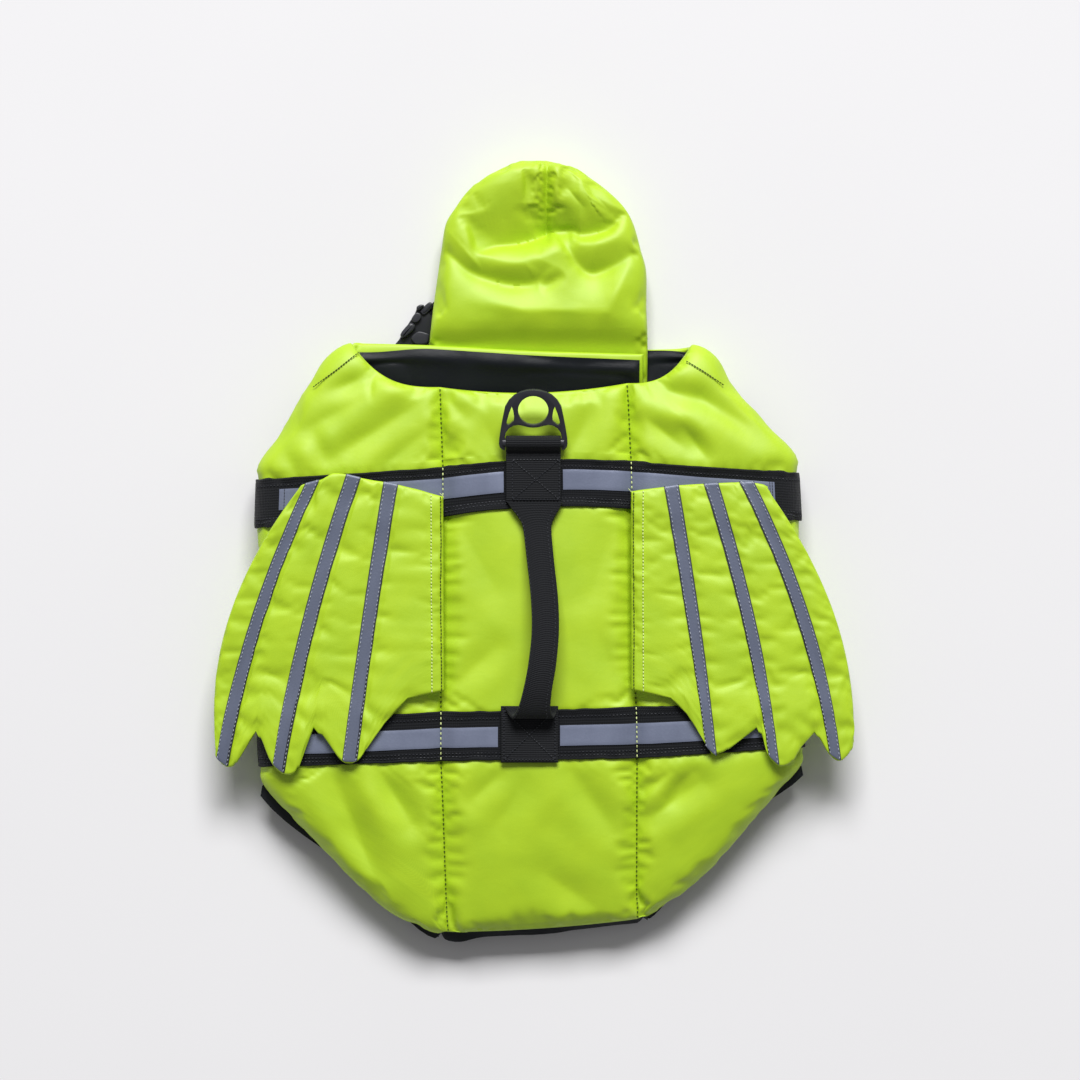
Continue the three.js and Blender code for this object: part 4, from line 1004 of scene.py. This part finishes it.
def wing(name, side, lines):
    count = len(lines["topX"])
    sub = 6 if FINE else 3
    c = np.unique(np.concatenate([
        np.linspace(0, count - 1, (count - 1) * sub + 1), [0.06, 0.2, count - 1.2, count - 1.06]]))
    line = curves(lines, c)
    # The end is straight into the notches and round at the tips.
    tip = np.zeros(len(c))
    for k in np.flatnonzero(lines["tape"]):
        tip = np.maximum(tip, (c >= k - 0.8) & (c <= k + 1.8))
    for key in ("endX", "endY"):
        straight = np.interp(c, np.arange(count), lines[key])
        line[key] = np.where(tip > 0, line[key], straight)
    rows = spread(205)
    f = rows[:, None]
    # Rows run level across the wing and take up the scallops only near its end.
    even = np.convolve(np.pad(line["endY"], 40, mode="edge"), np.ones(81) / 81, mode="valid")
    y = mix(line["topY"], even, f) + (line["endY"] - even) * smooth(0.6, 1.0, f)
    g = (y - line["topY"]) / (line["endY"] - line["topY"])
    x = mix(line["topX"], line["endX"], g) - line["bow"] * 4 * g * (1 - g)
    sign = -1 if side == "L" else 1
    reach = np.minimum(np.abs(x), WING_REACH)
    over = np.abs(x) - reach
    crest = sample(draped, sign * reach, y)
    near = sample(draped, x, y)
    near = np.where(np.abs(x) > 205, 0, near)
    z = np.where(over > 0, np.maximum(near, crest - WING_DROOP * over ** 2), near)
    z = blur(blur(z, 2, 0), 2, 1)
    z = np.maximum(z, np.where(np.abs(x) > 200, 0, sample(ground, x, y)))
    z = z + GAP + WING_PAD / 2 + 0.35
    wave = 0.9 * noise(x * 0.7, y * 0.45, 21, 61) * smooth(0, 0.3, f) * smooth(0, 30, over)
    mid = Cloth(np.stack([x, y, z + wave], 2), flip=side == "R")
    # The wing is sewn flat under each tape and round its edge, and puffs up between them.
    edge = mid.edge()
    open_edge = mid.edge("first last left")
    pinch = np.ones_like(x)
    for k in np.flatnonzero(lines["tape"]):
        centre = k + 0.5
        away = np.abs(c - centre)[None, :]
        pinch = np.minimum(pinch, smooth(0.45, 1.2, np.broadcast_to(away, x.shape)))
    pinch = pinch * rounded(edge, 8)
    thick = (2.4 + (WING_PAD + 0.8 - 2.4) * pinch) * (0.25 + 0.75 * rounded(edge, 1.2))
    ripple = 0.36 * noise(x * 0.4 + 0.15 * y, y, 8, 71) * pinch
    ripple = ripple + 0.35 * puckers(open_edge, mid.across + mid.down, 5, 9, 73)
    for k, x0, y0 in zip(*NOTCHES[side]):
        for turn in (-1, 1):
            pull = table(CREASE, [[x0, y0, x0 + turn * 11, y0 + 10, 3.4, 0.9]])
            ripple = ripple - creased(pull, x, y, 0.6)
    outer = mid.out(thick / 2 + ripple)
    column_of = lambda k: mid.across[:, np.argmin(np.abs(c - k))]
    middles = np.stack([0.5 * (column_of(k) + column_of(k + 1)) for k in np.flatnonzero(lines["tape"])])
    taped = (np.abs(mid.across[None] - middles[:, :, None]) < 5.6).any(axis=0)
    pinned = (edge < 0.8) | taped | ((mid.right > 8) & (mid.right < 10))
    outer = settled(mid, outer, pinned, 0.014, 0.4, 1.0)
    inner = mid.out(-thick / 2)
    piece = closed(f"{name}_cloth", outer, inner, mid, LIME)
    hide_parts(name)
    top = Cloth(outer, flip=side == "R")
    for distance, thread, size in ((2.2, olive_thread, 0.42), (9.0, lime_thread, 0.44)):
        points, normals = at_distance(mid, top, "right", distance)
        thread.run(points[2:-2], normals[2:-2], pitch=2.5, share=0.7, radius=size, lift=0.25)
    for k in np.flatnonzero(lines["tape"]):
        columns = np.flatnonzero((c >= k - 1e-6) & (c <= k + 1 + 1e-6))
        part = top.p[:-2, columns]
        wanted = np.linspace(0, 1, 11)
        share = np.linspace(0, 1, len(columns))
        ribbon = np.stack([picked(wanted, share, row) for row in part])
        middle = ribbon.mean(axis=1, keepdims=True)
        across = ribbon[:, -1:] - ribbon[:, :1]
        across /= np.linalg.norm(across, axis=2, keepdims=True)
        ribbon = middle + across * (np.linspace(-5.4, 5.4, 11)[None, :, None])
        # The end is cut round, like the cloth's.
        for j, aside in enumerate(np.linspace(-1, 1, 11)):
            kept = np.arange(len(ribbon)) * (1 - 1.3 * aside ** 4 / (len(ribbon) - 1))
            ribbon[:, j] = cubic(ribbon[:, j], kept, 0)
        order = np.argsort(top.p[len(top.p) // 2, :, 0])
        height = np.stack([
            np.interp(ribbon[i, :, 0], top.p[i, order, 0], top.p[i, order, 2]) for i in range(len(part))])
        flat = height[:, 2:9].mean(axis=1, keepdims=True)
        height = np.maximum(height, mix(height, flat, 0.7))
        ribbon[:, :, 2] = np.maximum(blur(height, 2, 0), height)
        base = regrid(ribbon, flipped=side == "R")
        node = f"{name}_tape_{int(k / 4 + 0.5)}"
        tape = strip(f"{node}_cloth", base, 0.15, TAPE, GREY_WING, node)
        for field in ("left", "right"):
            points, normals = at_distance(base, tape, field, 1.5)
            white_thread.run(points, normals, pitch=3.1, share=0.55, radius=0.27, lift=0.24)


wing("wing_left", "L", WING_LEFT)
wing("wing_right", "R", WING_RIGHT)


def stitched_line(thread, corners, **settings):
    """Stitches on top of everything, along corners of the plan."""
    corners = np.array(corners, float)
    lengths = lengths_of(corners)
    at = np.linspace(0, lengths[-1], max(8, int(lengths[-1] / 1.5)))
    x, y = np.interp(at, lengths, corners[:, 0]), np.interp(at, lengths, corners[:, 1])
    points = np.stack([x, y, sample(ground, x, y)], 1)
    thread.run(points, np.tile([0.0, 0.0, 1.0], (len(at), 1)), **settings)


for sections in (BAND_UPPER, BAND_LOWER):
    t = np.linspace(*sections, 12)
    for seam in ("seamL", "seamR"):
        path = np.stack([along(BACK, seam + "X", t), along(BACK, seam + "Y", t)], 1)
        stitched_line(lime_thread, path, pitch=3.3, share=0.62, radius=0.42, lift=0.3)
# Loose thread ends where the wings' root seams start
for end in ([(-69.0, 42.4), (-66.9, 40.6), (-64.9, 37.6)], [(66.6, 45.6), (68.6, 43.6), (69.8, 40.4)]):
    stitched_line(lime_thread, end, pitch=5.0, share=0.96, radius=0.3, lift=0.6)
for seam in SHOULDER_SEAMS:
    stitched_line(olive_thread, seam, pitch=2.2, share=0.85, radius=0.45, lift=-0.1)


# Belly flaps and belts

belly_places = section_places(FRONT_OF_SIDE, REAR_OF_SIDE)


def belly_flap(side):
    sign, end, edge = (-1, "leftEnd", "left") if side == "L" else (1, "rightEnd", "right")
    b = curves(BACK, belly_places)
    under = curves(BELLY, belly_places - FRONT_OF_SIDE)
    rear = BELLY_REAR * smooth(REAR_OF_SIDE - 1, REAR_OF_SIDE, belly_places)
    shares = spread(165)
    level = np.full(len(belly_places), BELT_CLEAR + BELLY_PAD / 2)
    inner = np.stack([under[end + "X"], under[end + "Y"], level], 1)
    outer = np.stack([b[edge + "X"], b[edge + "Y"] - rear, b["edgeZ"] - 1.4], 1)
    mid = Cloth(turned(inner, outer, 4, 1, shares), flip=side == "L")
    thick = padding(mid, BELLY_PAD, {"first": 10, "last": 10, "left": 10, "right": 12})
    x, y = mid.p[:, :, 0], mid.p[:, :, 1]
    belly_out = mid.p - mid.n * (thick / 2)[:, :, None]
    belted = np.zeros(len(belly_places), bool)
    for sections in (BAND_UPPER, BAND_LOWER):
        belted |= (belly_places >= sections[0] - 0.01) & (belly_places <= sections[1] + 0.01)
    turned_round = Cloth(mid.p, flip=side == "R")
    belly_out = settled(turned_round, belly_out, (mid.edge() < 1.0) | belted[:, None], 0.04, 1.5, 1.8)
    belly_out[:, :, 2] = np.maximum(belly_out[:, :, 2], 0.4)
    belly_in = mid.p + mid.n * (thick / 2)[:, :, None]
    name = "belly_left" if side == "L" else "belly_right"
    piece = closed(f"{name}_cloth", belly_out, belly_in, mid, LIME)
    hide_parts(f"{name}_flap")
    keep = np.r_[0:len(shares) - 3]
    base = mid.part(slice(None), keep)
    top = base.p + base.n * ((thick[:, keep] / 2) + GAP + 0.3)[:, :, None]
    over = top + base.n * LINING
    lining = closed(f"{name}_lining_cloth", over, top, base, BLACK)
    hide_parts(f"{name}_lining")
    surface = Cloth(belly_out, flip=side == "R")
    for field in ("first", "last", "left"):
        points, normals = at_distance(mid, surface, field, 3.5)
        lime_thread.run(points[3:-3], normals[3:-3])
    return mid, belly_out


def belt(name, side, sections, flap):
    mid, surface = flap
    rows = np.flatnonzero((belly_places >= sections[0] - 1e-6) & (belly_places <= sections[1] + 1e-6))
    part = surface[rows][:, ::-1]
    normal = -mid.n[rows][:, ::-1]
    keep = np.r_[1:part.shape[1] - 1]
    part, normal = part[:, keep], normal[:, keep]
    level = np.abs(part[:, :, 0]) < BELT_LEVEL
    flat = part.copy()
    flat[:, :, 2] = np.where(level, BELT_CLEAR, np.maximum(part[:, :, 2], BELT_CLEAR))
    end = flat[:, -1:].copy()
    end[:, :, 0] = np.sign(end[:, :, 0]) * 26
    grid = np.concatenate([flat, end], axis=1)
    base = regrid(finer(grid, 36), flipped=side == "R")
    base.n = np.concatenate([finer(normal, 36), finer(normal, 36)[:, -1:]], axis=1)
    base.n[:, np.abs(base.p[0, :, 0]) < BELT_LEVEL] = (0, 0, -1)
    strip(name + "_webbing", base, GAP, WEBBING, WEB_U, name)


flaps = {"L": belly_flap("L"), "R": belly_flap("R")}
for side, word in (("L", "left"), ("R", "right")):
    belt(f"belt_upper_{word}", side, BAND_UPPER, flaps[side])
    belt(f"belt_lower_{word}", side, BAND_LOWER, flaps[side])


# Chest flaps

def chest_flap(name, side, rows):
    t = spread(50) * (len(rows["share"]) - 1)
    end = curves(rows, t)
    b = curves(BACK, end["share"] * SHOULDER)
    edge = "left" if side == "L" else "right"
    inner = np.stack([end["x"], end["y"], end["z"]], 1)
    outer = np.stack([b[edge + "X"], b[edge + "Y"], b["edgeZ"] - (4.4 if side == "L" else 0.6)], 1)
    shares = spread(200)
    grid = turned(inner, outer, 1.4 if side == "L" else 5, 1, shares)
    if side == "L":
        # The shoulder end comes up to the back, and the top edge runs out at the neck.
        grid[:, :, 2] += smooth(0.97, 1.0, shares)[None, :] * 2.4
        grid[:, :, 1] += 2.3 * smooth(0.3, 0.8, shares)[None, :] * (1 - smooth(0, 1.2, t))[:, None]
    mid = Cloth(grid, flip=side == "L")
    share = np.ones(grid.shape[:2])
    for field in ("first", "last", "left", "right"):
        share = share * rounded(getattr(mid, field), 9)
    rim = 0.3 + 0.7 * rounded(mid.edge(), 1.2)
    thick = mix(3.0, end["pad"][:, None], share) * rim
    x, y = mid.p[:, :, 0], mid.p[:, :, 1]
    upper = mid.out(thick / 2 + 0.25 * noise(x, y, 14, 81) * share)
    lower = mid.out(-thick / 2)
    piece = closed(f"{name}_cloth", upper, lower, mid, LIME)
    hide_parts(f"{name}_flap")
    # The lining starts below the bound top edge.
    column = np.r_[4:len(shares) - 8]
    begin = mix(0.42, 0.95, smooth(0.72, 0.97, shares[column])) if side == "L" else 0.3 + 0 * shares[column]
    wanted = mix(begin[None, :], t.max() - 0.2, np.linspace(0, 1, len(t) - 6)[:, None])
    face = np.stack([picked(wanted[:, j], t, upper[:, c]) for j, c in enumerate(column)], 1)
    face = Cloth(face, flip=side == "L")
    x, y = face.p[:, :, 0], face.p[:, :, 1]
    wave = 0.9 * noise(x, y, 26, 83)
    roll = np.exp(-((face.first - 7) / 4.5) ** 2) * (1.3 + 0.9 * noise(x, y, 17, 85))
    wave = wave + roll * rounded(face.edge(), 3)
    low = face.out(GAP + 0.3 + np.abs(wave))
    high = face.out(GAP + 0.3 + LINING + np.abs(wave))
    lining = closed(f"{name}_lining_cloth", high, low, face, BLACK)
    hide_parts(f"{name}_lining")


chest_flap("chest_left", "L", CHEST_LEFT)
chest_flap("chest_right", "R", CHEST_RIGHT)


# Chin float

def folds(x, y):
    """Depth of the float's folds."""
    depth = np.zeros(x.shape)
    for above, below, line in FLOAT_FOLDS:
        line = np.array(line, float)
        t = np.linspace(0, len(line) - 1, 8 * (len(line) - 1) + 1)
        line = cubic(line, t, 0)
        best = np.full(x.shape, 1e9)
        upper, deep = np.zeros(x.shape), np.zeros(x.shape)
        for (x0, y0, d0), (x1, y1, d1) in zip(line[:-1], line[1:]):
            f, away = nearest(x, y, x0, y0, x1, y1)
            side = (x1 - x0) * (y - y0) - (y1 - y0) * (x - x0)
            nearer = away < best - 1e-9
            best = np.where(nearer, away, best)
            upper = np.where(nearer, side > 0, upper)
            deep = np.where(nearer, mix(d0, d1, f), deep)
        soft = np.hypot(best, 1.6) - 1.6
        slope = np.clip(1 - soft / above, 0, 1) ** 1.4
        rise = 0.35 * np.exp(-soft / 3.2) + 0.65 * np.clip(1 - soft / below, 0, 1) ** 1.7
        depth += np.maximum(deep, 0) * np.where(upper > 0.5, slope, rise)
    return depth


def chin_float():
    t = np.unique(np.concatenate([
        np.linspace(0, 12, int(175 / FLOAT_STEP)), 12 - np.array([0.03, 0.1, 0.2, 0.35, 0.55, 0.8])]))
    row = curves(FLOAT, t)
    shares = spread(155, FLOAT_STEP)
    s = shares[None, :]
    x = mix(row["left"][:, None], row["right"][:, None], s)
    y = np.broadcast_to(row["y"][:, None], x.shape).copy()
    mid = Cloth(np.stack([x, y, np.broadcast_to(row["mid"][:, None], x.shape)], 2))
    if mid.n[:, :, 2].mean() < 0:
        mid.n = -mid.n
    share = rounded(mid.first, 12) * rounded(mid.last, 14) * rounded(mid.left, 25) * rounded(mid.right, 25)
    rim = 0.25 + 0.75 * rounded(mid.edge(), 1.7)
    thick = mix(SEWN_EDGE, row["pad"][:, None], share) * rim
    full = np.clip((thick - SEWN_EDGE) / 14, 0, 1)
    relief = -(folds(x, y) + creased(FLOAT_CREASES, x, y, 0.75)) * full
    relief = relief + (0.7 * noise(x, y, 30, 91) + 0.2 * noise(x, y, 11, 92)) * full
    top = mid.p.copy()
    top[:, :, 2] += thick / 2 + relief
    dart = (np.abs(x - 7.2) < 1.5) & (y > 231)
    top = settled(mid, top, (mid.edge() < 1.0) | dart, 0.03, 0.5, 1.3, skip=3)
    low = mid.p.copy()
    low[:, :, 2] = np.maximum(0, low[:, :, 2] - thick / 2)
    piece = closed("chin_float_cloth", top, low, mid, LIME)
    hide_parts("chin_float")


chin_float()


# Webbing of the ring and the grab handle

def webbing_along(node, base, thickness):
    """Webbing of a thickness round its middle surface; gives its top face."""
    rim = 0.35 + 0.65 * rounded(base.edge(), 0.8)
    top, bottom = base.out(thickness / 2 * rim), base.out(-thickness / 2 * rim)
    piece = closed(f"{node}_webbing", top, bottom, base, WEB_V)
    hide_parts(node)
    return Cloth(top)


def path_strip(node, path, thickness):
    """Webbing along a middle line; path has columns x, y, z and width."""
    shares = web_spread(path["width"].mean())
    base = Cloth(np.stack([
        path["x"][:, None] + (shares[None, :] - 0.5) * path["width"][:, None],
        np.repeat(path["y"][:, None], len(shares), 1),
        np.repeat(path["z"][:, None], len(shares), 1),
    ], 2))
    return webbing_along(node, base, thickness)


def ring_loop():
    points = []
    top = LOOP["foot"] + WEBBING + GAP
    points += [(y, LOOP["foot"]) for y in np.linspace(LOOP["rear"], RING_BAR[0] - 6, 16)]
    for a in np.linspace(-90, LOOP["leave"], 34):
        turn = math.radians(a)
        points.append((RING_BAR[0] + LOOP["turn"] * math.cos(turn),
                       RING_BAR[1] + LOOP["turn"] * math.sin(turn)))
    points += [(RING_BAR[0] + dy, top + dz) for dy, dz in ((-4.7, 1.7), (-5.3, 1.05), (-5.9, 0.6), (-8, 0.1))]
    points += [(y, top) for y in np.linspace(RING_BAR[0] - 11, LOOP["rear"], 16)]
    points = np.array(points)
    path = {"x": np.full(len(points), float(LOOP["middle"])), "y": points[:, 0], "z": points[:, 1],
            "width": np.full(len(points), LOOP["width"])}
    path_strip("ring_loop", path, WEBBING)
    level = top + WEBBING / 2
    box_stitches(-16.6, 17.0, 66.2, 37.6, lambda x, y: np.full(np.shape(x), level))


def box_stitches(x0, x1, y0, y1, height):
    """A square of stitches with a cross in it."""
    corners = [(x0, y0), (x1, y0), (x1, y1), (x0, y1)]
    runs = [(corners[k], corners[(k + 1) % 4]) for k in range(4)]
    runs += [(corners[0], corners[2]), (corners[1], corners[3])]
    for a, b in runs:
        f = np.linspace(0, 1, 24)
        x, y = mix(a[0], b[0], f), mix(a[1], b[1], f)
        points = np.stack([x, y, height(x, y)], 1)
        normals = np.tile([0.0, 0.0, 1.0], (len(f), 1))
        black_thread.run(points, normals, pitch=2.4, radius=0.4, lift=0.14)


ring_loop()
t = np.linspace(0, 12, 150)
handle_top = path_strip("handle", curves(HANDLE, t), HANDLE_PAD)
for share in (0.16, 0.84):
    column = int(share * (handle_top.p.shape[1] - 1))
    black_thread.run(handle_top.p[14:-20, column], handle_top.n[14:-20, column], pitch=3.0, radius=0.26)


def rear_patch():
    ground_band = height_map([bands["band_lower"].p])
    xs = mix(REAR_PATCH["x0"], REAR_PATCH["x1"], web_spread(41))
    ys = mix(REAR_PATCH["y0"], REAR_PATCH["y1"], web_spread(41))
    x, y = np.meshgrid(xs, ys)
    z = blur(blur(sample(spread_max(ground_band, 2), x, y), 1, 0), 1, 1)
    base = regrid(np.stack([x, y, z], 2))
    top = strip("rear_patch_webbing", base, GAP, WEBBING, WEB_V,
                "rear_patch")
    heights = height_map([top.p])
    box_stitches(-22.6, 14.0, -113.5, -149.0, lambda x, y: sample(heights, x, y))


rear_patch()


# Neck straps

BUCKLE_TURN = math.radians(46.6)
STRAP_PLACE, BUCKLE_PLACE = (-85.7, 155.5), (-86.1, 157.4)
STRAP_WIDTH = 20


def beside_float(place, u, v):
    """Plan coordinates of what lies u along and v across the neck buckle's own line."""
    return (place[0] + u * math.cos(BUCKLE_TURN) - v * math.sin(BUCKLE_TURN),
            place[1] + u * math.sin(BUCKLE_TURN) + v * math.cos(BUCKLE_TURN))


def neck_strap(name, path):
    t = np.linspace(0, len(path["along"]) - 1, 24)
    a, z = along(path, "along", t), along(path, "z", t)
    across = web_spread(STRAP_WIDTH)
    u = np.repeat(a[:, None], len(across), 1)
    v = np.repeat(((across - 0.5) * STRAP_WIDTH)[None, :], len(a), 0)
    base = Cloth(np.stack([*beside_float(STRAP_PLACE, u, v), np.repeat(z[:, None], len(across), 1)], 2))
    if base.n[:, :, 2].mean() < 0:
        base.n = -base.n
    webbing_along(name, base, WEBBING)


neck_strap("neck_strap_front", table("along z", [[18.3, 2.4], [25, 1.8], [32, 1.2], [38, 1.2]]))
neck_strap("neck_strap_rear", table(
    "along z", [[-18.3, 3.2], [-24, 4.0], [-30, 6.6], [-37, 9.4], [-44, 11.0], [-50, 11.2]]))


# Hard pieces: the frame's own shapes with rounded edges

def rounded_copy(node, name, material, width, body="garment"):
    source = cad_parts[node]
    mesh = source.data.copy()
    mesh.name = name
    shape = bmesh.new()
    shape.from_mesh(mesh)
    bmesh.ops.remove_doubles(shape, verts=shape.verts, dist=1e-6)
    bmesh.ops.dissolve_limit(shape, angle_limit=math.radians(1), verts=shape.verts, edges=shape.edges)
    edges = [e for e in shape.edges if len(e.link_faces) == 2 and e.calc_face_angle() > math.radians(32)]
    bmesh.ops.bevel(shape, geom=edges, offset=width * MM, segments=2, profile=0.5, affect="EDGES",
                    clamp_overlap=True)
    shape.to_mesh(mesh)
    shape.free()
    mesh.materials.clear()
    mesh.materials.append(material)
    mesh.shade_smooth()
    mesh.set_sharp_from_angle(angle=SHARP)
    piece = bpy.data.objects.new(name, mesh)
    piece.matrix_world = source.matrix_world
    bpy.context.collection.objects.link(piece)
    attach(piece, body)
    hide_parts(node)


rounded_copy("d_ring", "lead_ring_plastic", PLASTIC, 0.75, "ring")
for which in ("upper", "lower"):
    for half in ("socket", "plug"):
        rounded_copy(f"buckle_{which}_{half}", f"buckle_{which}_{half}_plastic", BUCKLE_PLASTIC, 0.7)

for thread in (lime_thread, olive_thread, black_thread, white_thread):
    thread.build()


# Neck buckle: a moulded base with arms, plates and a raised panel on it

BUCKLE_BASE = [(-17.5, -9), (17.5, -10), (18, 11), (16.5, 14.2), (13.5, 14), (11.5, 12.6), (7, 11.8),
               (-0.5, 10.4), (-7.5, 9.8), (-9.5, 7.8), (-17.5, 7.6)]
BUCKLE_RAISED = [  # outline, lowest and highest level and the edges' radius
    ([(-9.2, 5.2), (2.6, 4.2), (5.2, 7.0), (3.6, 10.3), (-0.6, 10.6), (-7.4, 10.1), (-9.2, 8.4)],
     2.6, 7.4, 2.0),
    ([(5.0, 7.2), (9.6, 6.0), (13.4, 7.8), (12.4, 12.4), (6.6, 12.0), (4.9, 10.6)], 2.6, 6.2, 0.9),
    ([(12.8, 11.6), (19.6, 10.8), (19.2, 13.0), (16.6, 14.8), (13.6, 14.6)], 2.6, 7.0, 1.2),
    ([(13.6, 6.2), (24.6, 6.0), (24.6, 10.9), (13.8, 11.3)], 2.6, 5.2, 0.9),
    ([(15.2, 7.5), (24.4, 7.3), (24.4, 9.6), (15.4, 9.9)], 4.8, 5.8, 0.5),
    ([(-4.6, 3.0), (-6.2, -3), (0.6, -9.6), (7.2, -6), (3.0, 2.0)], 2.6, 5.2, 0.8),
]


def moulded(outline, low, high, radius):
    """A flat moulding with rounded corners and a rounded upper edge."""
    line = np.array(outline, float)
    area = np.sum(line[:, 0] * np.roll(line[:, 1], -1) - np.roll(line[:, 0], -1) * line[:, 1])
    if area < 0:
        line = line[::-1]
    after = np.roll(line, -1, axis=0)
    edge = np.linalg.norm(after - line, axis=1, keepdims=True)
    cut = np.minimum(1.3 / edge, 0.36)
    line = np.stack([mix(line, after, cut), mix(after, line, cut)], 1).reshape(-1, 2)
    for _ in range(2):
        after = np.roll(line, -1, axis=0)
        line = np.stack([mix(line, after, 0.25), mix(line, after, 0.75)], 1).reshape(-1, 2)
    way = np.roll(line, -1, axis=0) - np.roll(line, 1, axis=0)
    way /= np.linalg.norm(way, axis=1, keepdims=True)
    inward = np.stack([-way[:, 1], way[:, 0]], 1)
    profile = [(0, low)]
    for a in np.linspace(0, math.pi / 2, 6):
        profile.append((radius * (1 - math.cos(a)), high - radius * (1 - math.sin(a))))
    rings = []
    for inset, level in profile:
        u, v = (line + inward * inset).T
        rings.append(np.stack([*beside_float(BUCKLE_PLACE, u, v), np.full(len(line), float(level))], 1))
    count = len(line)
    faces = []
    for r in range(0, (len(rings) - 1) * count, count):
        for k in range(count):
            after = (k + 1) % count
            faces.append((r + k, r + after, r + count + after, r + count + k))
    faces += [tuple(range(count))[::-1], tuple((len(rings) - 1) * count + k for k in range(count))]
    return np.concatenate(rings), faces


vertices, faces = moulded(BUCKLE_BASE, 0.2, 3.2, 0.8)
base_of_buckle = make_mesh("neck_buckle_plastic", vertices, faces, BUCKLE_PLASTIC)
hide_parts("neck_buckle")
# Painted highlight: the raised mouldings take the lighter ring plastic for the light their raised faces catch,
# while the base keeps the buckle's own dark plastic.
vertices, faces = [], []
for moulding in BUCKLE_RAISED:
    points, sides = moulded(*moulding)
    start = sum(len(v) for v in vertices)
    vertices.append(points)
    faces += [tuple(start + k for k in face) for face in sides]
make_mesh("neck_buckle_arms_painted_highlight", np.concatenate(vertices), faces, PLASTIC)


# Floor, light and camera

ROOM_LIGHT = 0.22
SENSOR = 36
CAMERA_HEIGHT = 3.04
SHARP_LEVEL, PICTURE_WIDTH = 0.04, 0.7776  # metres across the picture at a level above the floor


def floor_material():
    material, tree, shader = node_tree("floor_paper")
    tone = blend(tree, solid_cloud(tree, 3.0, 2.0), linear(228, 227, 229), linear(232, 231, 233))
    finish_material(tree, shader, tone, Roughness=0.9, Specular_IOR_Level=0.1)
    return material


bpy.ops.mesh.primitive_plane_add(size=12, location=(0, 0, -0.0002))
floor = bpy.context.object
floor.name = "floor"
floor.data.materials.append(floor_material())

world = bpy.data.worlds.new("studio")
bpy.context.scene.world = world
world.use_nodes = True
world.node_tree.nodes["Background"].inputs["Color"].default_value = (1, 1, 1, 1)
world.node_tree.nodes["Background"].inputs["Strength"].default_value = ROOM_LIGHT


def area_light(name, size, power, place):
    light = bpy.data.lights.new(name, "AREA")
    light.shape = "RECTANGLE"
    light.size, light.size_y = size
    light.energy = power
    lamp = bpy.data.objects.new(name, light)
    lamp.location = place
    lamp.rotation_euler = (-Vector(place)).to_track_quat("-Z", "Y").to_euler()
    bpy.context.collection.objects.link(lamp)


area_light("key_from_neck", (7.0, 4.0), 2000, (0.4, 8.9, 8.0))

camera = bpy.data.objects.new("camera", bpy.data.cameras.new("camera"))
bpy.context.collection.objects.link(camera)
camera.location = (0.0043, 0.0075, CAMERA_HEIGHT)
camera.rotation_euler = (0, 0, 0)
camera.data.sensor_width = SENSOR
camera.data.lens = SENSOR * (CAMERA_HEIGHT - SHARP_LEVEL) / PICTURE_WIDTH
bpy.context.scene.camera = camera
bpy.context.scene.view_settings.view_transform = "Standard"
